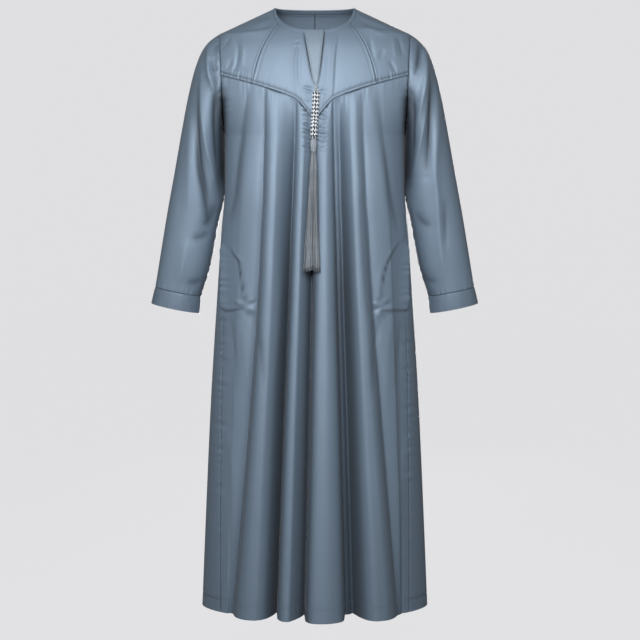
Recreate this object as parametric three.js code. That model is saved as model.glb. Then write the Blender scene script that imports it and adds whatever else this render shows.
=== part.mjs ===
// A men's thobe (kandura): a long, collarless robe, filled out as if worn, with nobody inside.
// Millimetres, +Z up, the front faces -Y, the wearer's left is +X.
// The origin lies between the two points where the shoulder line meets the neck.

import * as THREE from 'three';

// ---------------------------------------------------------------- driving sizes

const LENGTH = 1422; // neck point to hem, a 56 inch thobe
const CLOTH = 2; // wall of every cloth piece
const SEAM = 0.25; // each piece stops this far short of its seam line
const STEPS = 2; // facets between two fold lines

const neckPoint = { x: 90, z: 0 };
const neckDrop = { front: 58.5, back: 2 };
const neckRoundness = 2.3;
const bindingWidth = 6.8;
const bindingShare = 0.95; // it is this much narrower at the sides than at the centre
const bindingProud = 0.4;

const shoulder = { x: 223.6, z: -62 };
const armhole = { middle: -179.5, halfHeight: 117.5, halfDepth: 77, x: 217.8, lean: 5.8, scoop: 3 };
const armholeSteps = 9; // from the shoulder point to the underarm point
const yokeStep = 4; // the yoke seam meets the armhole at this step

// The yoke seam runs from the centre point to a corner, then out to the armhole; a curve under 1
// bows it upwards.
const yoke = {
  centre: -263, corner: { x: 37.4, z: -216.7 }, end: { x: 215.3, z: -158.2 }, dipCurve: 0.9, wingCurve: 0.75,
};
const princess = { neckAngle: 33, pull: { x: 113.6, z: -90 } };

// Half-width and half-depths of the worn body at a few heights, how far forward of the side the
// side seam lies, and how square the section is (2 is an ellipse, more is boxier).
const sections = [
  { z: 0, wide: 90, front: 20, back: 66, seam: 0, square: 2.4 },
  { z: -19, wide: 131, front: 40, back: 84, seam: 0, square: 2.4 },
  { z: -55, wide: 208.5, front: 80, back: 101, seam: 0, square: 2.4 },
  { z: -97, wide: 220.5, front: 103, back: 112, seam: 0, square: 2.4 },
  { z: -165, wide: 216, front: 119, back: 121, seam: 0, square: 2.4 },
  { z: -297, wide: 212, front: 130, back: 121, seam: 0, square: 2.4 },
  { z: -424, wide: 212, front: 134, back: 118, seam: 24, square: 2.6 },
  { z: -519, wide: 220, front: 136, back: 121, seam: 42, square: 2.35 },
  { z: -637, wide: 228.5, front: 139, back: 126, seam: 54, square: 2.15 },
  { z: -905, wide: 246.5, front: 146, back: 138, seam: 62, square: 1.9 },
  { z: -1160, wide: 259.5, front: 152, back: 148, seam: 68, square: 1.8 },
  { z: -LENGTH, wide: 271.5, front: 158, back: 156, seam: 74, square: 1.7 },
];

// Fold lines of the front skirt, from the wearer's right to the left: where each starts on the
// yoke seam, where it meets the hem, how its path bends (1 is straight), how far it stands out
// from the plain section at the hem, and how far half-way down.
const frontFolds = [
  { name: 'right side crease', top: -142.5, hem: -202.4, bend: 0.4, out: -4, swell: 5 },
  { name: 'right outer hollow', top: -116, hem: -194.3, bend: 1.6, out: 0, swell: -5 },
  { name: 'right pleat edge', top: -109.1, hem: -186.2, bend: 1.6, out: 20, swell: 1 },
  { name: 'right pleat crown', top: -99.3, hem: -165, bend: 1.5, out: 29, swell: 0 },
  { name: 'right pleat flat', top: -88.5, hem: -144.7, bend: 1.4, out: 26, swell: 0 },
  { name: 'right pleat roll', top: -74.7, hem: -120.4, bend: 1.2, out: 9, swell: 0 },
  { name: 'right deep slope', top: -59, hem: -102.2, bend: 1.1, out: -18, swell: 0 },
  { name: 'right deep hollow', top: -42.3, hem: -90.6, bend: 1, out: -37, swell: 0 },
  { name: 'inner pleat edge', top: -38.3, hem: -87.5, bend: 1, out: 5, swell: 0 },
  { name: 'inner pleat crown', top: -31.5, hem: -75.9, bend: 1, out: 16, swell: 0 },
  { name: 'inner pleat flat', top: -23.6, hem: -62.7, bend: 1, out: 14, swell: 0 },
  { name: 'inner pleat roll', top: -15.7, hem: -50.6, bend: 1, out: 0, swell: 0 },
  { name: 'inner slope', top: -8.8, hem: -39.5, bend: 1.1, out: -16, swell: 0 },
  { name: 'inner hollow', top: -1, hem: -25.3, bend: 1.3, out: -32, swell: 0 },
  { name: 'centre pleat right edge', top: 2.9, hem: -21.3, bend: 1.5, out: 13, swell: 0 },
  { name: 'centre pleat crown', top: 11.8, hem: 0, bend: 1.3, out: 23, swell: 0 },
  { name: 'centre pleat flat', top: 23.6, hem: 27.3, bend: 1, out: 25, swell: 0 },
  { name: 'centre pleat shoulder', top: 32.4, hem: 52.6, bend: 1, out: 20, swell: 0 },
  { name: 'centre pleat left edge', top: 38.8, hem: 68.3, bend: 1, out: 12, swell: 0 },
  { name: 'left deep tuck', top: 42.3, hem: 72.4, bend: 1, out: -30, swell: 0 },
  { name: 'left deep hollow', top: 55, hem: 89.1, bend: 1, out: -34, swell: 0 },
  { name: 'left slope', top: 64.9, hem: 108.3, bend: 1.1, out: -7, swell: 0 },
  { name: 'left pleat rise', top: 74.7, hem: 124.5, bend: 1.2, out: 17, swell: 0 },
  { name: 'left pleat crown', top: 84.5, hem: 147.8, bend: 1.3, out: 33, swell: 0 },
  { name: 'left pleat flat', top: 93.4, hem: 170, bend: 1.3, out: 35, swell: 0 },
  { name: 'left pleat edge', top: 100.3, hem: 186.2, bend: 1.3, out: 27, swell: 1 },
  { name: 'left outer hollow', top: 111.1, hem: 195.3, bend: 1.3, out: 14, swell: -4 },
  { name: 'left side crease', top: 142.5, hem: 203.4, bend: 0.4, out: 5, swell: 5 },
];
const flanks = [0.92, 0.975, 1]; // extra lines towards each side seam, as shares of its distance

// Fold lines of one back half, from the centre back seam outwards.
const backFolds = [
  { name: 'centre back seam', top: 0, hem: 0, bend: 1, out: 0 },
  { name: 'centre hollow', top: 24, hem: 38, bend: 1, out: -24 },
  { name: 'inner edge', top: 33, hem: 54, bend: 1, out: 10 },
  { name: 'inner crown', top: 46, hem: 74, bend: 1.1, out: 25 },
  { name: 'inner roll', top: 66, hem: 102, bend: 1.1, out: 4 },
  { name: 'outer hollow', top: 82, hem: 127, bend: 1.2, out: -28 },
  { name: 'outer edge', top: 93, hem: 141, bend: 1.2, out: 4 },
  { name: 'outer crown', top: 112, hem: 163, bend: 1.3, out: 27 },
  { name: 'outer fall', top: 145, hem: 195, bend: 1.3, out: 14 },
];
const backFoldStart = -250;
const backFoldDepth = { right: 1, left: 0.9 };
const sideRun = [0.25, 0.5, 0.75, 1]; // shares of the way round from the back to the seam
const foldGrowth = 0.55; // folds deepen with this power of the way down
const skirtLevels = [-420, -560, -710, -870, -1040, -1230, -LENGTH];
const yokeDropFade = 500; // the yoke seam's dip fades out over this height

// Sleeve rings below the armhole: the outer and inner ends of each ring, and half its depth.
const sleeveRings = [
  { outer: [245, -77.5], inner: [219, -308], deep: 80 },
  { outer: [263, -100], inner: [223, -317.5], deep: 80 },
  { outer: [279, -138.5], inner: [225.5, -329.5], deep: 78 },
  { outer: [296, -204], inner: [224, -351], deep: 72 },
  { outer: [311.5, -282.5], inner: [220, -385.5], deep: 66 },
  { outer: [328.5, -375.5], inner: [218.5, -430], deep: 60 },
  { outer: [347.5, -476.5], inner: [227.5, -504], deep: 54 },
  { outer: [365, -578.5], inner: [247, -604.5], deep: 48 },
  { outer: [377.5, -653], inner: [269.5, -675], deep: 41 },
];
const cuffEnd = { outer: [387, -692], inner: [274, -715], deep: 40 };
const cuffProud = 0.3;

const tongue = {
  top: { left: 22, right: -24.5 }, tip: { left: 8.8, right: -3 }, neck: -58, end: -173, point: -178.7,
  pointShare: 0.35, gap: 1.2, thick: 2, rows: 8, columns: 4,
};
const braid = { start: { x: 4.1, z: -195 }, end: { x: -2.2, z: -300.2 }, radius: 8.4, sides: 10, steps: 8 };
const strand = {
  radius: 1.3, sides: 8, steps: 8, start: -179.6, over: 1.6, apart: 5, joined: 3.2, clear: 3.1, fork: 2,
};
const cap = {
  top: -301.1, height: 30.6, sides: 14, // radius and distance below the top of each turn of its outline
  outline: [[0.1, 0], [5.5, 0.5], [7.2, 9.2], [5.5, 26.8], [0.1, 30.6]],
};
const tassel = {
  top: { x: -2.5, z: -332, half: 6.5, deep: 6 }, end: { x: -6.7, z: -607, half: 18.5, deep: 7.5 },
  rows: 8, sides: 14, flare: 0.8,
};
const restGap = 0.6; // what lies on the cloth stays this far off it
const ridgeNear = 0.5; // a point this close to the shoulder line counts as on it

// Pocket bag of one side: the height of its rows and the distance of its stitched front edge.
const pocketRows = [
  { z: -557, edge: 195 }, { z: -578, edge: 179.5 }, { z: -603, edge: 167 }, { z: -634, edge: 160.5 },
  { z: -668, edge: 156 }, { z: -697, edge: 153 },
];
const pocket = { inset: 4, outerFace: -4, innerFace: -5.5, columns: 4 };

// ---------------------------------------------------------------- materials

const finish = (color, roughness) => new THREE.MeshStandardMaterial({ color, roughness, metalness: 0 });
const cloth = finish(0x8496a8, 0.55);
const placket = finish(0x93a3b1, 0.7);
const silverBraid = finish(0x8d9196, 0.5);
const silk = finish(0x8b929a, 0.6);

// ---------------------------------------------------------------- the worn body

const lerp = THREE.MathUtils.lerp;
const rad = THREE.MathUtils.degToRad;
const degrees = THREE.MathUtils.radToDeg;

// Reads one column of the section table at any height.
function section(column, z) {
  const below = sections.findIndex((row) => row.z <= z);
  if (below <= 0) return sections[below === 0 ? 0 : sections.length - 1][column];
  const [a, b] = [sections[below - 1], sections[below]];
  return lerp(a[column], b[column], (a.z - z) / (a.z - b.z));
}

// The armhole oval, counted from the shoulder point (0) to the underarm point (180 degrees).
function armholePoint(angle) {
  const [c, s] = [Math.cos(rad(angle)), Math.sin(rad(angle))];
  return {
    x: armhole.x + armhole.lean * c - armhole.scoop * Math.abs(s),
    deep: armhole.halfDepth * s,
    z: armhole.middle + armhole.halfHeight * c,
  };
}

const underarm = armholePoint(180);

// Half-width of the full section at a height, for a wall whose centre lies `deep` from the middle.
function halfWidth(z, deep, square) {
  if (z >= shoulder.z) {
    return neckPoint.x + ((shoulder.x - neckPoint.x) * z) / shoulder.z;
  }
  if (z <= underarm.z) return section('wide', z);
  const c = THREE.MathUtils.clamp((z - armhole.middle) / armhole.halfHeight, -1, 1);
  const edge = armholePoint(degrees(Math.acos(c)));
  return edge.x / (1 - (edge.deep / deep) ** square) ** (1 / square);
}

// Depth of the plain, unfolded section at x.
function plainDepth(x, z, side) {
  const [deep, square] = [section(side, z), section('square', z)];
  const share = Math.min(1, Math.abs(x) / halfWidth(z, deep, square));
  return deep * (1 - share ** square) ** (1 / square);
}

// Where the side seam or the armhole edge lies at a height below the shoulder point.
function edgeX(z) {
  if (z > underarm.z) {
    const c = THREE.MathUtils.clamp((z - armhole.middle) / armhole.halfHeight, -1, 1);
    return armholePoint(degrees(Math.acos(c))).x;
  }
  const square = section('square', z);
  const share = section('seam', z) / section('front', z);
  return section('wide', z) * (1 - share ** square) ** (1 / square);
}

const yokeSeamZ = (x) => {
  const far = Math.abs(x);
  if (far < yoke.corner.x) {
    return lerp(yoke.centre, yoke.corner.z, (far / yoke.corner.x) ** yoke.dipCurve);
  }
  const share = (far - yoke.corner.x) / (yoke.end.x - yoke.corner.x);
  return lerp(yoke.corner.z, yoke.end.z, share ** yoke.wingCurve);
};

// A point of the neckline (reach 0) or of the binding's sewn edge (reach 1). The angle runs from
// the neck point (0) to the centre (90).
function neckline(angle, reach, side) {
  const power = 2 / neckRoundness;
  const [c, s] = [Math.cos(rad(angle)) ** power, Math.sin(rad(angle)) ** power];
  const slope = shoulder.z / (shoulder.x - neckPoint.x);
  const wide = neckPoint.x + bindingWidth * bindingShare * reach;
  const drop = neckDrop[side] + bindingWidth * reach;
  return { x: wide * c, z: (wide - neckPoint.x) * slope * c - drop * s };
}

const necklineAngle = (x) => {
  const wide = neckPoint.x + bindingWidth * bindingShare;
  return degrees(Math.acos(Math.min(1, Math.abs(x) / wide) ** (neckRoundness / 2)));
};

const onFront = (x, z) => new THREE.Vector3(x, -plainDepth(x, z, 'front'), z);
const onBack = (x, z) => new THREE.Vector3(x, plainDepth(x, z, 'back'), z);

// A smooth run through control points, with the same number of facets between each pair.
function smoothRun(points) {
  const curve = new THREE.CatmullRomCurve3(points, false, 'centripetal');
  const count = (points.length - 1) * STEPS;
  return Array.from({ length: count + 1 }, (_, i) => curve.getPoint(i / count));
}

// ---------------------------------------------------------------- the front skirt

const armholeLevels = Array.from(
  { length: armholeSteps + 1 },
  (_, k) => armholePoint((k * 180) / armholeSteps).z,
);
const yokeEnd = armholePoint((yokeStep * 180) / armholeSteps);

const flankLines = (sign) => (
  flanks.map((share) => ({ share: sign * share, out: 0, swell: 0, bend: 1 }))
);
const frontLines = [
  ...flankLines(-1).reverse(),
  ...frontFolds.map((fold) => ({ ...fold, share: fold.top / yokeEnd.x })),
  ...flankLines(1),
];

// Control points across the front at one level of the side edge.
function frontRow(level) {
  const hemEdge = edgeX(-LENGTH);
  return frontLines.map((line) => {
    const topX = line.share * yokeEnd.x;
    const topZ = Math.abs(line.share) === 1 ? yokeEnd.z : yokeSeamZ(topX);
    const fade = Math.max(0, 1 - (yokeEnd.z - level) / yokeDropFade) ** 2;
    const z = level + (topZ - yokeEnd.z) * fade;
    const way = Math.max(0, (topZ - z) / (topZ + LENGTH));
    const hem = line.hem ?? line.share * hemEdge;
    const x = line.share * edgeX(level) + (hem - line.share * hemEdge) * way ** line.bend;
    const out = line.out * way ** foldGrowth + line.swell * 4 * way * (1 - way);
    return new THREE.Vector3(x, -plainDepth(x, z, 'front') - out, z);
  });
}

const frontLevels = [...armholeLevels.slice(yokeStep), ...skirtLevels];
const frontGrid = frontLevels.map((level) => smoothRun(frontRow(level)));

// Depth of the folded front: the most it stands out between two distances from the centre.
function proudest(z, low, high) {
  const steps = 8;
  if (z > yoke.centre) {
    const tries = Array.from({ length: steps + 1 }, (_, i) => lerp(low, high, i / steps));
    return Math.max(...tries.map((x) => plainDepth(x, z, 'front')));
  }
  const row = smoothRun(frontRow(z)).filter((p) => p.x > low - steps && p.x < high + steps);
  return Math.max(...row.map((p) => -p.y));
}

// The folded front at one distance from the centre, out on the flank where it doesn't overhang.
function flankPoint(x, z) {
  const row = smoothRun(frontRow(z));
  const next = row.findIndex((p, i) => p.x >= x && (x < 0 || i > row.length / 2));
  const [a, b] = [row[next - 1], row[next]];
  return a.clone().lerp(b, (x - a.x) / (b.x - a.x));
}

// ---------------------------------------------------------------- the yoke

const seamRow = frontGrid[0];
const firstCentre = flanks.length * STEPS;
const lastCentre = seamRow.length - 1 - firstCentre;

const princessStart = neckline(princess.neckAngle, 1, 'front');
const princessEnd = { x: seamRow[lastCentre].x, z: seamRow[lastCentre].z };

// The curved seam between the centre and side yokes, from the neck (0) to the yoke seam (1).
function princessSeam(v, sign) {
  const bend = (a, pull, b) => (1 - v) ** 2 * a + 2 * v * (1 - v) * pull + v ** 2 * b;
  return {
    x: sign * bend(princessStart.x, princess.pull.x, princessEnd.x),
    z: bend(princessStart.z, princess.pull.z, princessEnd.z),
  };
}

// Fills four edges, given as points in x and z, and lays the result on the front.
function fillFront(top, bottom, leftEdge, rightEdge, shares) {
  return leftEdge.map((left, j) => {
    const v = j / (leftEdge.length - 1);
    const right = rightEdge[j];
    return shares.map((u, i) => {
      const mix = (axis) => {
        const across = lerp(left[axis], right[axis], u);
        const down = lerp(top[i][axis], bottom[i][axis], v);
        const upper = lerp(top[0][axis], top[top.length - 1][axis], u);
        const lower = lerp(bottom[0][axis], bottom[bottom.length - 1][axis], u);
        return across + down - lerp(upper, lower, v);
      };
      return onFront(mix('x'), mix('z'));
    });
  });
}

function yokeCentreGrid() {
  const bottom = seamRow.slice(firstCentre, lastCentre + 1);
  const wide = princessEnd.x;
  const top = bottom.map((p) => {
    const angle = necklineAngle((p.x / wide) * princessStart.x);
    const point = neckline(angle, 1, 'front');
    return { x: Math.sign(p.x) * point.x, z: point.z };
  });
  const edge = (sign) => armholeLevels.slice(0, yokeStep + 1).map((_, j) => princessSeam(j / yokeStep, sign));
  const shares = bottom.map((p) => (p.x + wide) / (2 * wide));
  return fillFront(top, bottom, edge(-1), edge(1), shares);
}

function yokeSideGrid(sign) {
  const run = sign > 0 ? seamRow.slice(lastCentre) : seamRow.slice(0, firstCentre + 1).reverse();
  const bottom = run.map((p) => ({ x: p.x, z: p.z }));
  const neckShare = 1 / 3;
  const last = bottom.length - 1;
  const start = neckline(0, 1, 'front');
  const top = bottom.map((_, i) => {
    const u = i / last;
    if (u <= neckShare) {
      const point = neckline(princess.neckAngle * (1 - u / neckShare), 1, 'front');
      return { x: sign * point.x, z: point.z };
    }
    const share = (u - neckShare) / (1 - neckShare);
    return { x: sign * lerp(start.x, shoulder.x, share), z: lerp(start.z, shoulder.z, share) };
  });
  const inner = armholeLevels.slice(0, yokeStep + 1).map((_, j) => princessSeam(j / yokeStep, sign));
  const outer = inner.map((_, j) => {
    const point = armholePoint((j * 180) / armholeSteps);
    return { x: sign * point.x, z: point.z };
  });
  return fillFront(top, bottom, inner, outer, bottom.map((_, i) => i / last));
}

// ---------------------------------------------------------------- the back halves

const backLevels = [...armholeLevels, ...skirtLevels];
const backShares = backFolds.map((fold) => fold.top / underarm.x);

// Height of the sewn top edge of the back at x: the neckline, then the shoulder line.
function backTopZ(x) {
  const start = neckline(0, 1, 'back');
  if (x < start.x) return neckline(necklineAngle(x), 1, 'back').z;
  return lerp(start.z, shoulder.z, (x - start.x) / (shoulder.x - start.x));
}

// A plain point of the back, as a share of the way to the armhole, above the underarm.
function upperBackPoint(share, level, sign) {
  const fade = Math.max(0, 1 - (shoulder.z - level) / (shoulder.z - underarm.z)) ** 2;
  const z = level + (backTopZ(share * shoulder.x) - shoulder.z) * fade;
  return onBack(sign * share * edgeX(Math.min(level, shoulder.z)), z);
}

function backRow(level, sign) {
  const depthShare = sign > 0 ? backFoldDepth.left : backFoldDepth.right;
  const hemEdge = edgeX(-LENGTH);
  const way = Math.max(0, (backFoldStart - level) / (backFoldStart + LENGTH));
  const folds = backFolds.map((fold, i) => {
    const point = upperBackPoint(backShares[i], level, sign);
    point.x += sign * (fold.hem - backShares[i] * hemEdge) * way ** fold.bend;
    point.y = plainDepth(point.x, point.z, 'back') + depthShare * fold.out * way ** foldGrowth;
    return point;
  });
  const lastShare = backShares[backShares.length - 1];
  const side = level > underarm.z
    ? sideRun.map((share) => upperBackPoint(lerp(lastShare, 1, share), level, sign))
    : sideRunPoints(folds[folds.length - 1], level, sign);
  return [...folds, ...side];
}

// From the last back fold round the side to the side seam, below the underarm.
function sideRunPoints(last, level, sign) {
  const square = section('square', level);
  const wide = section('wide', level);
  const start = 180 - degrees(Math.asin((Math.abs(last.x) / wide) ** (square / 2)));
  const end = degrees(Math.acos((section('seam', level) / section('front', level)) ** (square / 2)));
  return sideRun.map((share) => {
    const angle = rad(lerp(start, end, share));
    const [s, c] = [Math.sin(angle), Math.cos(angle)];
    const deep = section(c < 0 ? 'back' : 'front', level);
    const y = -Math.sign(c) * deep * Math.abs(c) ** (2 / square);
    return new THREE.Vector3(sign * wide * s ** (2 / square), y, level);
  });
}

function backGrid(sign) {
  const rows = backLevels.slice(1).map((level) => smoothRun(backRow(level, sign)));
  return [backTopRow(sign), ...rows];
}

// The top edge of a back half: along the neckline, then along the shoulder line, with one point
// exactly where they meet.
function backTopRow(sign) {
  const below = smoothRun(backRow(underarm.z + 1, sign));
  const shares = below.map((p) => Math.abs(p.x / below[below.length - 1].x));
  const start = neckline(0, 1, 'back');
  const turn = shares.findIndex((share) => share * shoulder.x > start.x);
  return shares.map((share, i) => {
    const neckX = (share / shares[turn]) * start.x;
    const ridgeShare = (share - shares[turn]) / (1 - shares[turn]);
    const x = i < turn ? neckX : lerp(start.x, shoulder.x, ridgeShare);
    const point = onBack(sign * x, backTopZ(x));
    if (i >= turn) point.y = 0;
    return point;
  });
}

// ---------------------------------------------------------------- sleeves and cuffs

const around = armholeSteps * 2;

function ringPoints({ outer, inner, deep }, sign) {
  const middle = [(outer[0] + inner[0]) / 2, (outer[1] + inner[1]) / 2];
  const reach = [(outer[0] - inner[0]) / 2, (outer[1] - inner[1]) / 2];
  return Array.from({ length: around }, (_, k) => {
    const angle = rad((k * 360) / around);
    const [c, s] = [Math.cos(angle), Math.sin(angle)];
    return new THREE.Vector3(sign * (middle[0] + reach[0] * c), -deep * s, middle[1] + reach[1] * c);
  });
}

function armholeRing(sign) {
  return Array.from({ length: around }, (_, k) => {
    const point = armholePoint((k * 360) / around);
    return new THREE.Vector3(sign * point.x, -point.deep, point.z);
  });
}

const sleeveGrid = (sign) => [armholeRing(sign), ...sleeveRings.map((ring) => ringPoints(ring, sign))];
const cuffGrid = (sign) => [ringPoints(sleeveRings[sleeveRings.length - 1], sign), ringPoints(cuffEnd, sign)];

// ---------------------------------------------------------------- neck binding

// The binding's sewn edge follows the top edges of the yoke and the back, point for point.
function bindingGrid(centre, sides, backs) {
  const half = (sign) => {
    const middle = (centre[0].length - 1) / 2;
    const front = sign > 0 ? centre[0].slice(middle) : centre[0].slice(0, middle + 1).reverse();
    const open = front.filter((p) => Math.abs(p.x) > Math.abs(sign > 0 ? tongue.top.left : tongue.top.right));
    const neckPart = sides[sign][0].filter((p, i) => i > 0 && -p.y > ridgeNear);
    const behind = backs[sign][0].filter((p) => p.y > ridgeNear).reverse();
    const ridge = onFront(sign * neckline(0, 1, 'front').x, neckline(0, 1, 'front').z);
    ridge.y = 0;
    return [...open, ...neckPart, ridge, ...behind];
  };
  const right = half(-1);
  const left = half(1).reverse();
  const sewn = [...right, ...left.slice(1)];
  const edge = sewn.map((p) => {
    const side = p.y > 0 ? 'back' : 'front';
    const point = neckline(necklineAngle(p.x), 0, side);
    const x = Math.sign(p.x) * point.x;
    const depth = plainDepth(x, point.z, side);
    return new THREE.Vector3(x, p.y > 0 ? depth : -depth, point.z);
  });
  return [edge, sewn];
}

// ---------------------------------------------------------------- tongue and pocket bags

function tongueGrid() {
  return Array.from({ length: tongue.rows + 1 }, (_, j) => {
    const last = j === tongue.rows;
    const v = Math.min(1, j / (tongue.rows - 1));
    const shrink = last ? tongue.pointShare : 1;
    const left = lerp(tongue.top.left, tongue.tip.left, v);
    const right = lerp(tongue.top.right, tongue.tip.right, v);
    const middle = (left + right) / 2;
    const z = last ? tongue.point : lerp(tongue.neck, tongue.end, v);
    return Array.from({ length: tongue.columns + 1 }, (_, i) => {
      const x = middle + (lerp(right, left, i / tongue.columns) - middle) * shrink;
      return onFront(x, z);
    });
  });
}

function pocketGrid(sign) {
  return pocketRows.map(({ z, edge }) => {
    const seam = edgeX(z) - pocket.inset;
    return Array.from({ length: pocket.columns + 1 }, (_, i) => {
      const x = lerp(edge, seam, i / pocket.columns);
      return flankPoint(sign * x, z);
    });
  });
}

// ---------------------------------------------------------------- from grids to walls

// A patch is a grid of points on the cloth's outer face, and how far its two faces lie from them.
const patches = [];
function addPatch(name, grid, material, options = {}) {
  patches.push({ name, grid, material, closed: false, out: 0, inn: -CLOTH, pull: SEAM, ...options });
}

const column = (patch, i) => (patch.closed ? (i + patch.grid[0].length) % patch.grid[0].length : i);

function faceNormals(patch) {
  const { grid, closed } = patch;
  const [rows, cols] = [grid.length, grid[0].length];
  const normals = grid.map((row) => row.map(() => new THREE.Vector3()));
  for (let j = 0; j + 1 < rows; j++) {
    for (let i = 0; i < (closed ? cols : cols - 1); i++) {
      const corners = [[j, i], [j, column(patch, i + 1)], [j + 1, column(patch, i + 1)], [j + 1, i]];
      const [a, b, c, d] = corners.map(([r, k]) => grid[r][k]);
      const normal = c.clone().sub(a).cross(d.clone().sub(b));
      corners.forEach(([r, k]) => normals[r][k].add(normal));
    }
  }
  return normals;
}

// Normals point out of the garment, and neighbours share them along their seams, so that the
// edges of two walls lie face to face.
function settleNormals(all) {
  const edges = [];
  all.forEach((patch) => {
    patch.normals = faceNormals(patch);
    const heart = new THREE.Vector3();
    patch.normals.flat().forEach((n, i) => {
      const p = patch.grid.flat()[i];
      heart.x += n.x * (p.x - (patch.axisX ?? 0)) + n.y * p.y;
    });
    if (heart.x < 0) patch.normals.flat().forEach((n) => n.negate());
    patch.normals.flat().forEach((n) => n.normalize());
    if (patch.loose) return;
    patch.grid.forEach((row, j) => row.forEach((p, i) => {
      const end = j === 0 || j === patch.grid.length - 1;
      const side = !patch.closed && (i === 0 || i === row.length - 1);
      if (end || side) edges.push({ p, n: patch.normals[j][i] });
    }));
  });
  const near = 0.05;
  const shared = edges.map(({ p }) => {
    const sum = new THREE.Vector3();
    edges.forEach((other) => {
      if (other.p.distanceTo(p) < near) sum.add(other.n);
    });
    if (Math.abs(p.y) < near && p.z > shoulder.z - 1) sum.y = 0;
    if (Math.abs(p.z - underarm.z) < near && Math.abs(p.y) < near) sum.set(0, 0, -1);
    return sum.normalize();
  });
  edges.forEach(({ n }, i) => n.copy(shared[i]));
}

// The wall between a patch's two faces, closed round its edges.
function wallGeometry(patch) {
  const { grid, normals, closed } = patch;
  const [rows, cols] = [grid.length, grid[0].length];
  const pulled = grid.map((row, j) => row.map((p, i) => {
    const move = new THREE.Vector3();
    const towards = (q) => move.add(q.clone().sub(p).setLength(patch.pull));
    if (j === 0) towards(grid[1][i]);
    if (j === rows - 1) towards(grid[rows - 2][i]);
    if (!closed && i === 0) towards(row[1]);
    if (!closed && i === cols - 1) towards(row[cols - 2]);
    return p.clone().add(move);
  }));
  const face = (shift) => pulled.flatMap((row, j) => row.map((p, i) => (
    p.clone().addScaledVector(normals[j][i], shift)
  )));
  const points = [...face(patch.out), ...face(patch.inn)];
  const half = rows * cols;
  const at = (j, i, side) => side * half + j * cols + column(patch, i);
  const triangles = [];
  const quad = (a, b, c, d) => triangles.push(a, b, c, a, c, d);
  const spans = closed ? cols : cols - 1;
  for (let j = 0; j + 1 < rows; j++) {
    for (let i = 0; i < spans; i++) {
      quad(at(j, i, 0), at(j, i + 1, 0), at(j + 1, i + 1, 0), at(j + 1, i, 0));
      quad(at(j, i, 1), at(j + 1, i, 1), at(j + 1, i + 1, 1), at(j, i + 1, 1));
    }
  }
  for (let i = 0; i < spans; i++) {
    quad(at(0, i, 1), at(0, i + 1, 1), at(0, i + 1, 0), at(0, i, 0));
    quad(at(rows - 1, i, 0), at(rows - 1, i + 1, 0), at(rows - 1, i + 1, 1), at(rows - 1, i, 1));
  }
  for (let j = 0; j + 1 < rows && !closed; j++) {
    quad(at(j, 0, 0), at(j + 1, 0, 0), at(j + 1, 0, 1), at(j, 0, 1));
    quad(at(j, cols - 1, 1), at(j + 1, cols - 1, 1), at(j + 1, cols - 1, 0), at(j, cols - 1, 0));
  }
  return solid(points, triangles);
}

// A closed geometry whose faces point out, whichever way the triangles were wound.
function solid(points, triangles) {
  let volume = 0;
  for (let k = 0; k < triangles.length; k += 3) {
    const [a, b, c] = triangles.slice(k, k + 3).map((n) => points[n]);
    volume += a.dot(b.clone().cross(c));
  }
  const index = volume > 0 ? triangles : triangles.slice().reverse();
  const geometry = new THREE.BufferGeometry().setFromPoints(points);
  geometry.setIndex(index);
  geometry.computeVertexNormals();
  return geometry;
}

const garment = new THREE.Group();
function addMesh(name, geometry, material) {
  const mesh = new THREE.Mesh(geometry, material);
  mesh.name = name;
  garment.add(mesh);
}

// ---------------------------------------------------------------- the cloth pieces

const yokeCentre = yokeCentreGrid();
const yokeSides = { [-1]: yokeSideGrid(-1), [1]: yokeSideGrid(1) };
const backs = { [-1]: backGrid(-1), [1]: backGrid(1) };

addPatch('front_skirt', frontGrid, cloth);
addPatch('yoke_centre', yokeCentre, cloth);
[[1, 'left'], [-1, 'right']].forEach(([sign, hand]) => {
  addPatch(`yoke_side_${hand}`, yokeSides[sign], cloth);
  addPatch(`back_${hand}`, backs[sign], cloth);
  addPatch(`sleeve_${hand}`, sleeveGrid(sign), cloth, { closed: true, axisX: sign * 290 });
  addPatch(`cuff_${hand}`, cuffGrid(sign), cloth, {
    closed: true, axisX: sign * 329, out: cuffProud, inn: -CLOTH - cuffProud,
  });
  addPatch(`pocket_bag_${hand}`, pocketGrid(sign), cloth, {
    out: pocket.outerFace, inn: pocket.innerFace, pull: 0, loose: true,
  });
});
addPatch('neck_binding', bindingGrid(yokeCentre, yokeSides, backs), cloth, {
  out: bindingProud, inn: -CLOTH - bindingProud,
});
addPatch('placket_tongue', tongueGrid(), placket, {
  out: tongue.gap + tongue.thick, inn: tongue.gap, pull: 0, loose: true,
});

settleNormals(patches);
patches.forEach((patch) => addMesh(patch.name, wallGeometry(patch), patch.material));

// ---------------------------------------------------------------- braided cord and tassel

const roundSection = (radius, sides) => {
  const shape = new THREE.Shape();
  for (let i = 0; i < sides; i++) {
    const angle = (i * 2 * Math.PI) / sides;
    shape[i ? 'lineTo' : 'moveTo'](radius * Math.cos(angle), radius * Math.sin(angle));
  }
  return shape;
};

function tube(points, { radius, sides, steps }) {
  const extrudePath = new THREE.CatmullRomCurve3(points);
  return new THREE.ExtrudeGeometry(roundSection(radius, sides), { steps, extrudePath, bevelEnabled: false });
}

function braidPoint(share) {
  const x = lerp(braid.start.x, braid.end.x, share);
  const z = lerp(braid.start.z, braid.end.z, share);
  const deep = proudest(z, x - braid.radius, x + braid.radius) + braid.radius + restGap;
  return new THREE.Vector3(x, -deep, z);
}

const braidTop = braidPoint(0);
addMesh('braid_cord', tube([0, 0.2, 0.4, 0.6, 0.8, 1].map(braidPoint), braid), silverBraid);

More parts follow.
